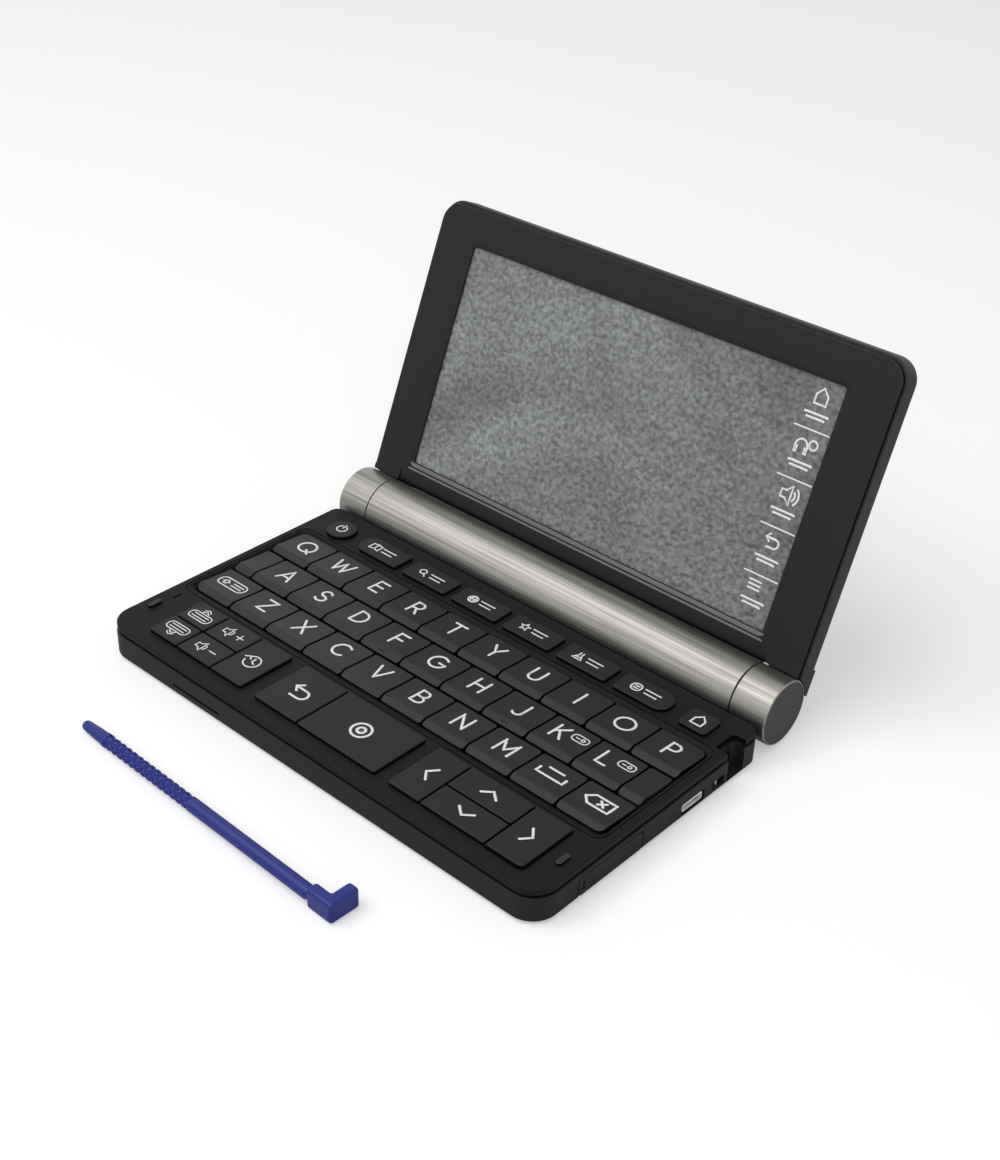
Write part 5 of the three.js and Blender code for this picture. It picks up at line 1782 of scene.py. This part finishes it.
def connector():
    outer = grown(USB, -CONNECTOR_INSET)
    rings = [(0, 0), (0, 4.6), (0.12, 4.7)]
    shell = skin("connector_shell", [(rounded(outer, by, CONNECTOR_RADII, 6), z) for by, z in rings])
    carve(shell, block("connector_room", *grown(outer, -CONNECTOR_WALL), 0.6, 8, (0.4,) * 4))
    finish_piece(in_wall(shell, CONNECTOR_DEPTH), tinned, "base", "body_plastic")
    middle = (USB[2] + USB[3]) / 2
    sides = (USB[0] + 1.7, USB[1] - 1.7, middle - 0.1, middle + 0.45)
    tongue = in_wall(block("connector_tongue", *sides, 0.5, 4.0), CONNECTOR_DEPTH)
    return finish_piece(tongue, tinned, "base", "body_plastic")


def strap_pin():
    y0, y1, z0, z1 = STRAP
    middle = (y0 + y1) / 2
    sides = (case.x1 - 1.4, case.x1 - 0.5, middle - STRAP_PIN_HALF, middle + STRAP_PIN_HALF)
    plan = outline(*sides, [0.44] * 4, 4)
    piece = skin("strap_pin", [(plan, z0 - 0.3), (plan, z1 + 0.3)])
    return finish_piece(piece, steel, "base", "body_plastic")


tongue_piece = connector()
pin_piece = strap_pin()
print("connector and strap pin:",
      len(tongue_piece.data.polygons) + len(pin_piece.data.polygons), "faces")

# %% [markdown]
# The underside has six cross-head screws in round recesses and four rubber feet. One screw and one
# foot are modelled, and Geometry Nodes sets them on the points where they belong.

# %% Repeating tree, screws and feet
FEET = [(x, y) for x in (-65.6, 65.6) for y in (case.y0 + 8.4, case.y1 - 4)]
SCREW_LEVEL = 0.35
CROSS_REACH = 1.1
CROSS_HALF = 0.22


def repeat_tree():
    """Sets one object on every point of a mesh and gives all of it one finish."""
    inputs = {**GEOMETRY, "Thing": "Object", "Finish": "Material"}
    build, source, target = new_group("GeometryNodeTree", "set_on_points", inputs, GEOMETRY)
    thing = build.add("GeometryNodeObjectInfo", {"Object": source["Thing"]}).outputs["Geometry"]
    places = {"Points": source["Geometry"], "Instance": thing}
    things = build.add("GeometryNodeInstanceOnPoints", places).outputs[0]
    return finish_tree(build, target, things, source["Finish"])


def points_object(name, places):
    mesh = bpy.data.meshes.new(name)
    mesh.from_pydata(places, [], [])
    return new_object(name, mesh)


repeating = repeat_tree()


def repeat(name, thing, places, z, material, body, slot_name):
    """Copies of a modelled thing at places in the plane, at one height, as one mesh."""
    piece = points_object(name, [(x * MM, y * MM, z * MM) for x, y in places])
    grow(piece, repeating, thing=thing, finish=material)
    bpy.data.objects.remove(thing)
    return finish_piece(piece, material, body, slot_name)


def round_stack(name, stations, steps):
    """Upright round solid through (radius, z) stations."""
    return skin(name, [(outline(-r, r, -r, r, [r] * 4, steps), z) for r, z in stations])


def screw():
    """Screw head that looks down, with a cross cut into it."""
    piece = round_stack("screw", ((1.5, 0.05), (1.75, 0.25), (1.75, 1.2)), 6)
    for x, y in ((CROSS_REACH, CROSS_HALF), (CROSS_HALF, CROSS_REACH)):
        carve(piece, block("cross", -x, x, -y, y, -3, 0.65))
    return piece


foot = round_stack("foot", ((3.5, 0.0), (3.85, 0.12), (4.0, 0.4), (4.0, 1.0)), 8)
screws = repeat("screws", screw(), SCREWS, SCREW_LEVEL, steel, "base", "body_plastic")
feet = repeat("feet", foot, FEET, case.z0, rubber, "base", "body_plastic")
print(len(SCREWS), "screws and", len(FEET), "feet,",
      len(screws.data.polygons) + len(feet.data.polygons), "faces")

# %% [markdown]
# The rating label of the real object is a printed plate under the case. Here it stays empty: a
# frame of thin lines marks where it would be.

# %% Label field under the case
LABEL_LINE = 0.3
UNDER_PRINT = -INK * 1.2

label = pill(46, 19, 0, -16) + [[(-20, -19), (20, -19)], [(-20, -13), (20, -13)]]
label_print = print_on("label_field", label, LABEL_LINE, "base", lambda *_: UNDER_PRINT,
                       longest=50, material=grey_print)
print("label field:", len(label_print.data.polygons), "faces")

# %% [markdown]
# ## Signs on the screen
#
# At the right of the screen five soft keys are printed under the film: home, listening, speech,
# back and menu, with a thin line between them. They are printed flat in the lid's drawing and
# leaned back with it.

# %% Soft keys
SOFT_X = 54.6
SOFT_KEYS = [
    *house(3.9, SOFT_X, 74.2),
    *headphones(3.7, SOFT_X - 1.1, 61.5), circle(1.15, 16, SOFT_X + 2.0, 62.5),
    *speaker(4.3, SOFT_X, 49.2),
    *back_arrow(3.8, SOFT_X, 36.9),
    *bars((3.2, 3.2, 3.2), 1.1, SOFT_X - 0.8, 25.2),
]
SOFT_WRITING = [path for y in (69.3, 57.0, 44.4, 32.0, 20.8)
                for path in bars((6.4, 4.8), 1.1, SOFT_X, y)]
SOFT_LINES = [[(49.9, y), (59.6, y)] for y in (65.9, 53.2, 40.5, 27.9)]
SOFT_PRINTS = {"soft_keys": (SOFT_KEYS, 0.52), "soft_writing": (SOFT_WRITING, 0.6),
               "soft_lines": (SOFT_LINES, 0.42)}
for name, (paths, width) in SOFT_PRINTS.items():
    print_on(name, paths, width, "lid", lambda *_: SHELL_RIM,
             lid_place, 3.0, screen_print)
print("soft keys:", len(SOFT_KEYS) + len(SOFT_LINES), "paths")

# %% [markdown]
# The lower bar of the bezel isn't flat: under the screen it has a narrow ledge that catches the
# light as a double line, painted as a highlight by its light grey colour, and from there it slopes
# back towards the barrel and stays dark.

# %% Ledges under the screen
LEDGES = {"upper_ledge": (1.35, 0.2, -0.12), "lower_ledge": (2.2, 1.7, 0.1)}
LEDGE_HALF = GLASS_HALF + 1.0


def ledge(name, low, high, top):
    rows = (GLASS_FOOT - low, GLASS_FOOT - high, BEZEL_FACE - 0.5, BEZEL_FACE + top)
    piece = round_edges(block(name, -LEDGE_HALF, LEDGE_HALF, *rows, (0.2,) * 4), 0.08, 2)
    return finish_piece(leaned(piece), ledge_plastic, "lid", "bezel_plastic")


ledges = [ledge(name, *rows) for name, rows in LEDGES.items()]
print("ledges:", len(ledges))

# %% [markdown]
# ## Stylus
#
# The stylus is a blue rod with a blunt tip, a longer knurled grip and a hooked head. It lies on
# the table, tip to the left, so its own line is turned about the vertical and tipped a little.

# %% Stylus body
STYLUS_LENGTH = 92.4
SHAFT_RADIUS = 1.8
GRIP_RADIUS = 1.85
TIP_RADIUS = 1.35
NECK_RADIUS = 1.5
HEAD_LENGTH = 8.2
HEAD_THICK = 3.3
HEAD_HEIGHT = 5.6
HEAD_REACH = 5.2
HEAD_ROUND = 0.95
STYLUS_TURN = -1.66
STYLUS_TIP = (-50.91, -73.865)
TIP_LENGTH = 6
GRIP = (10.3, 42.2)
GRIP_CORE = 1.42
KNURL_PITCH = 1.15
KNURL_AROUND = 8
KNURL_FOOT = 0.74
SHAFT_END = STYLUS_LENGTH - HEAD_LENGTH
stylus_lean = math.asin((HEAD_HEIGHT / 2 - SHAFT_RADIUS) / (SHAFT_END - TIP_LENGTH))
stylus_rise = SHAFT_RADIUS * math.cos(stylus_lean) - TIP_LENGTH * math.sin(stylus_lean) + case.z0
stylus_turn = turn_about("Z", STYLUS_TURN) @ Matrix.Rotation(-stylus_lean, 4, "Y")
stylus_place = shift_by(*STYLUS_TIP, stylus_rise) @ stylus_turn


def stylus_shaft():
    low, high = GRIP
    dome = [(by, TIP_RADIUS - below) for by, below in quarter(TIP_RADIUS, 6)]
    profile = [*dome, (TIP_LENGTH, TIP_RADIUS + 0.25), (low - 1.6, TIP_RADIUS + 0.3),
               (low - 1.4, SHAFT_RADIUS), (low - 0.3, SHAFT_RADIUS), (low, GRIP_CORE),
               (high, GRIP_CORE), (high + 0.3, SHAFT_RADIUS), (SHAFT_END - 0.8, SHAFT_RADIUS),
               (SHAFT_END - 0.2, NECK_RADIUS), (SHAFT_END + 1, NECK_RADIUS),
               (SHAFT_END + 1, 0)]
    return turned("stylus_shaft", profile, 0, 0, 48)


def knurl_tree():
    """Small pyramids in staggered rows round an axis: a rolled-up grid of points gets one each."""
    inputs = {**GEOMETRY, "Radius": "Float", "Height": "Float", "Foot": "Float", "Finish": "Material"}
    build, source, target = new_group("GeometryNodeTree", "knurled_grip", inputs, GEOMETRY)
    where = build.add("GeometryNodeInputPosition").outputs[0]
    flat = build.add("ShaderNodeSeparateXYZ", {"Vector": where}).outputs
    across, up = (build.math(name, flat["Y"]) for name in ("COSINE", "SINE"))
    outward = build.add("ShaderNodeCombineXYZ", {"Y": across, "Z": up}).outputs[0]
    along = build.add("ShaderNodeCombineXYZ", {"X": flat["X"]}).outputs[0]
    scale = {0: outward, "Scale": source["Radius"]}
    reach = build.add("ShaderNodeVectorMath", scale, operation="SCALE").outputs[0]
    rolled = build.add("ShaderNodeVectorMath", {0: reach, 1: along}, operation="ADD").outputs[0]
    aim = build.add("FunctionNodeAlignEulerToVector", {"Vector": outward}, axis="Z").outputs[0]
    stored = {"Geometry": source["Geometry"], "Name": "aim", "Value": aim}
    kept = build.add("GeometryNodeStoreNamedAttribute", stored, data_type="FLOAT_VECTOR").outputs[0]
    moved = build.add("GeometryNodeSetPosition", {"Geometry": kept, "Position": rolled}).outputs[0]
    size = {"Vertices": 4, "Radius Top": 0.0,
            "Radius Bottom": source["Foot"], "Depth": source["Height"]}
    spike = build.add("GeometryNodeMeshCone", size).outputs["Mesh"]
    read = build.add("GeometryNodeInputNamedAttribute", {"Name": "aim"}, data_type="FLOAT_VECTOR")
    places = {"Points": moved, "Instance": spike, "Rotation": read.outputs["Attribute"]}
    spikes = build.add("GeometryNodeInstanceOnPoints", places).outputs[0]
    return finish_tree(build, target, spikes, source["Finish"])


def stylus_knurl():
    low, high = GRIP
    rows = round((high - low) / KNURL_PITCH)
    places = []
    for row in range(rows):
        x = low + (high - low) * (row + 0.5) / rows
        turns = [(step + row % 2 / 2) / KNURL_AROUND * 2 * math.pi for step in range(KNURL_AROUND)]
        places += [(x * MM, turn, 0) for turn in turns]
    piece = points_object("stylus_grip", places)
    spike = (GRIP_RADIUS - GRIP_CORE) * MM
    sizes = {"radius": GRIP_CORE * MM, "height": spike, "foot": KNURL_FOOT * MM}
    grow(piece, knurl_tree(), **sizes, finish=stylus_plastic)
    piece.data.transform(stylus_place)
    return hand_over(piece, "stylus")


def stylus_head():
    """The hook: a short arm at the end of a thicker piece."""
    side, hook = HEAD_THICK / 2, HEAD_THICK / 2 + HEAD_REACH
    arm = STYLUS_LENGTH - HEAD_THICK
    corners = [(SHAFT_END, -side), (STYLUS_LENGTH, -side), (STYLUS_LENGTH, hook), (arm, hook), (arm, side),
               (SHAFT_END, side)]
    piece = skin("stylus_head", [(corners, -HEAD_HEIGHT / 2), (corners, HEAD_HEIGHT / 2)])
    return round_edges(piece, HEAD_ROUND, 4)


def whole_stylus():
    piece = fuse(stylus_shaft(), stylus_head())
    piece.data.transform(stylus_place)
    return finish_piece(piece, stylus_plastic, "stylus", "stylus_plastic", "stylus")


stylus_piece = whole_stylus()
grip_piece = stylus_knurl()
print("stylus:", len(stylus_piece.data.polygons), "faces, grip:",
      len(grip_piece.data.polygons), "faces")
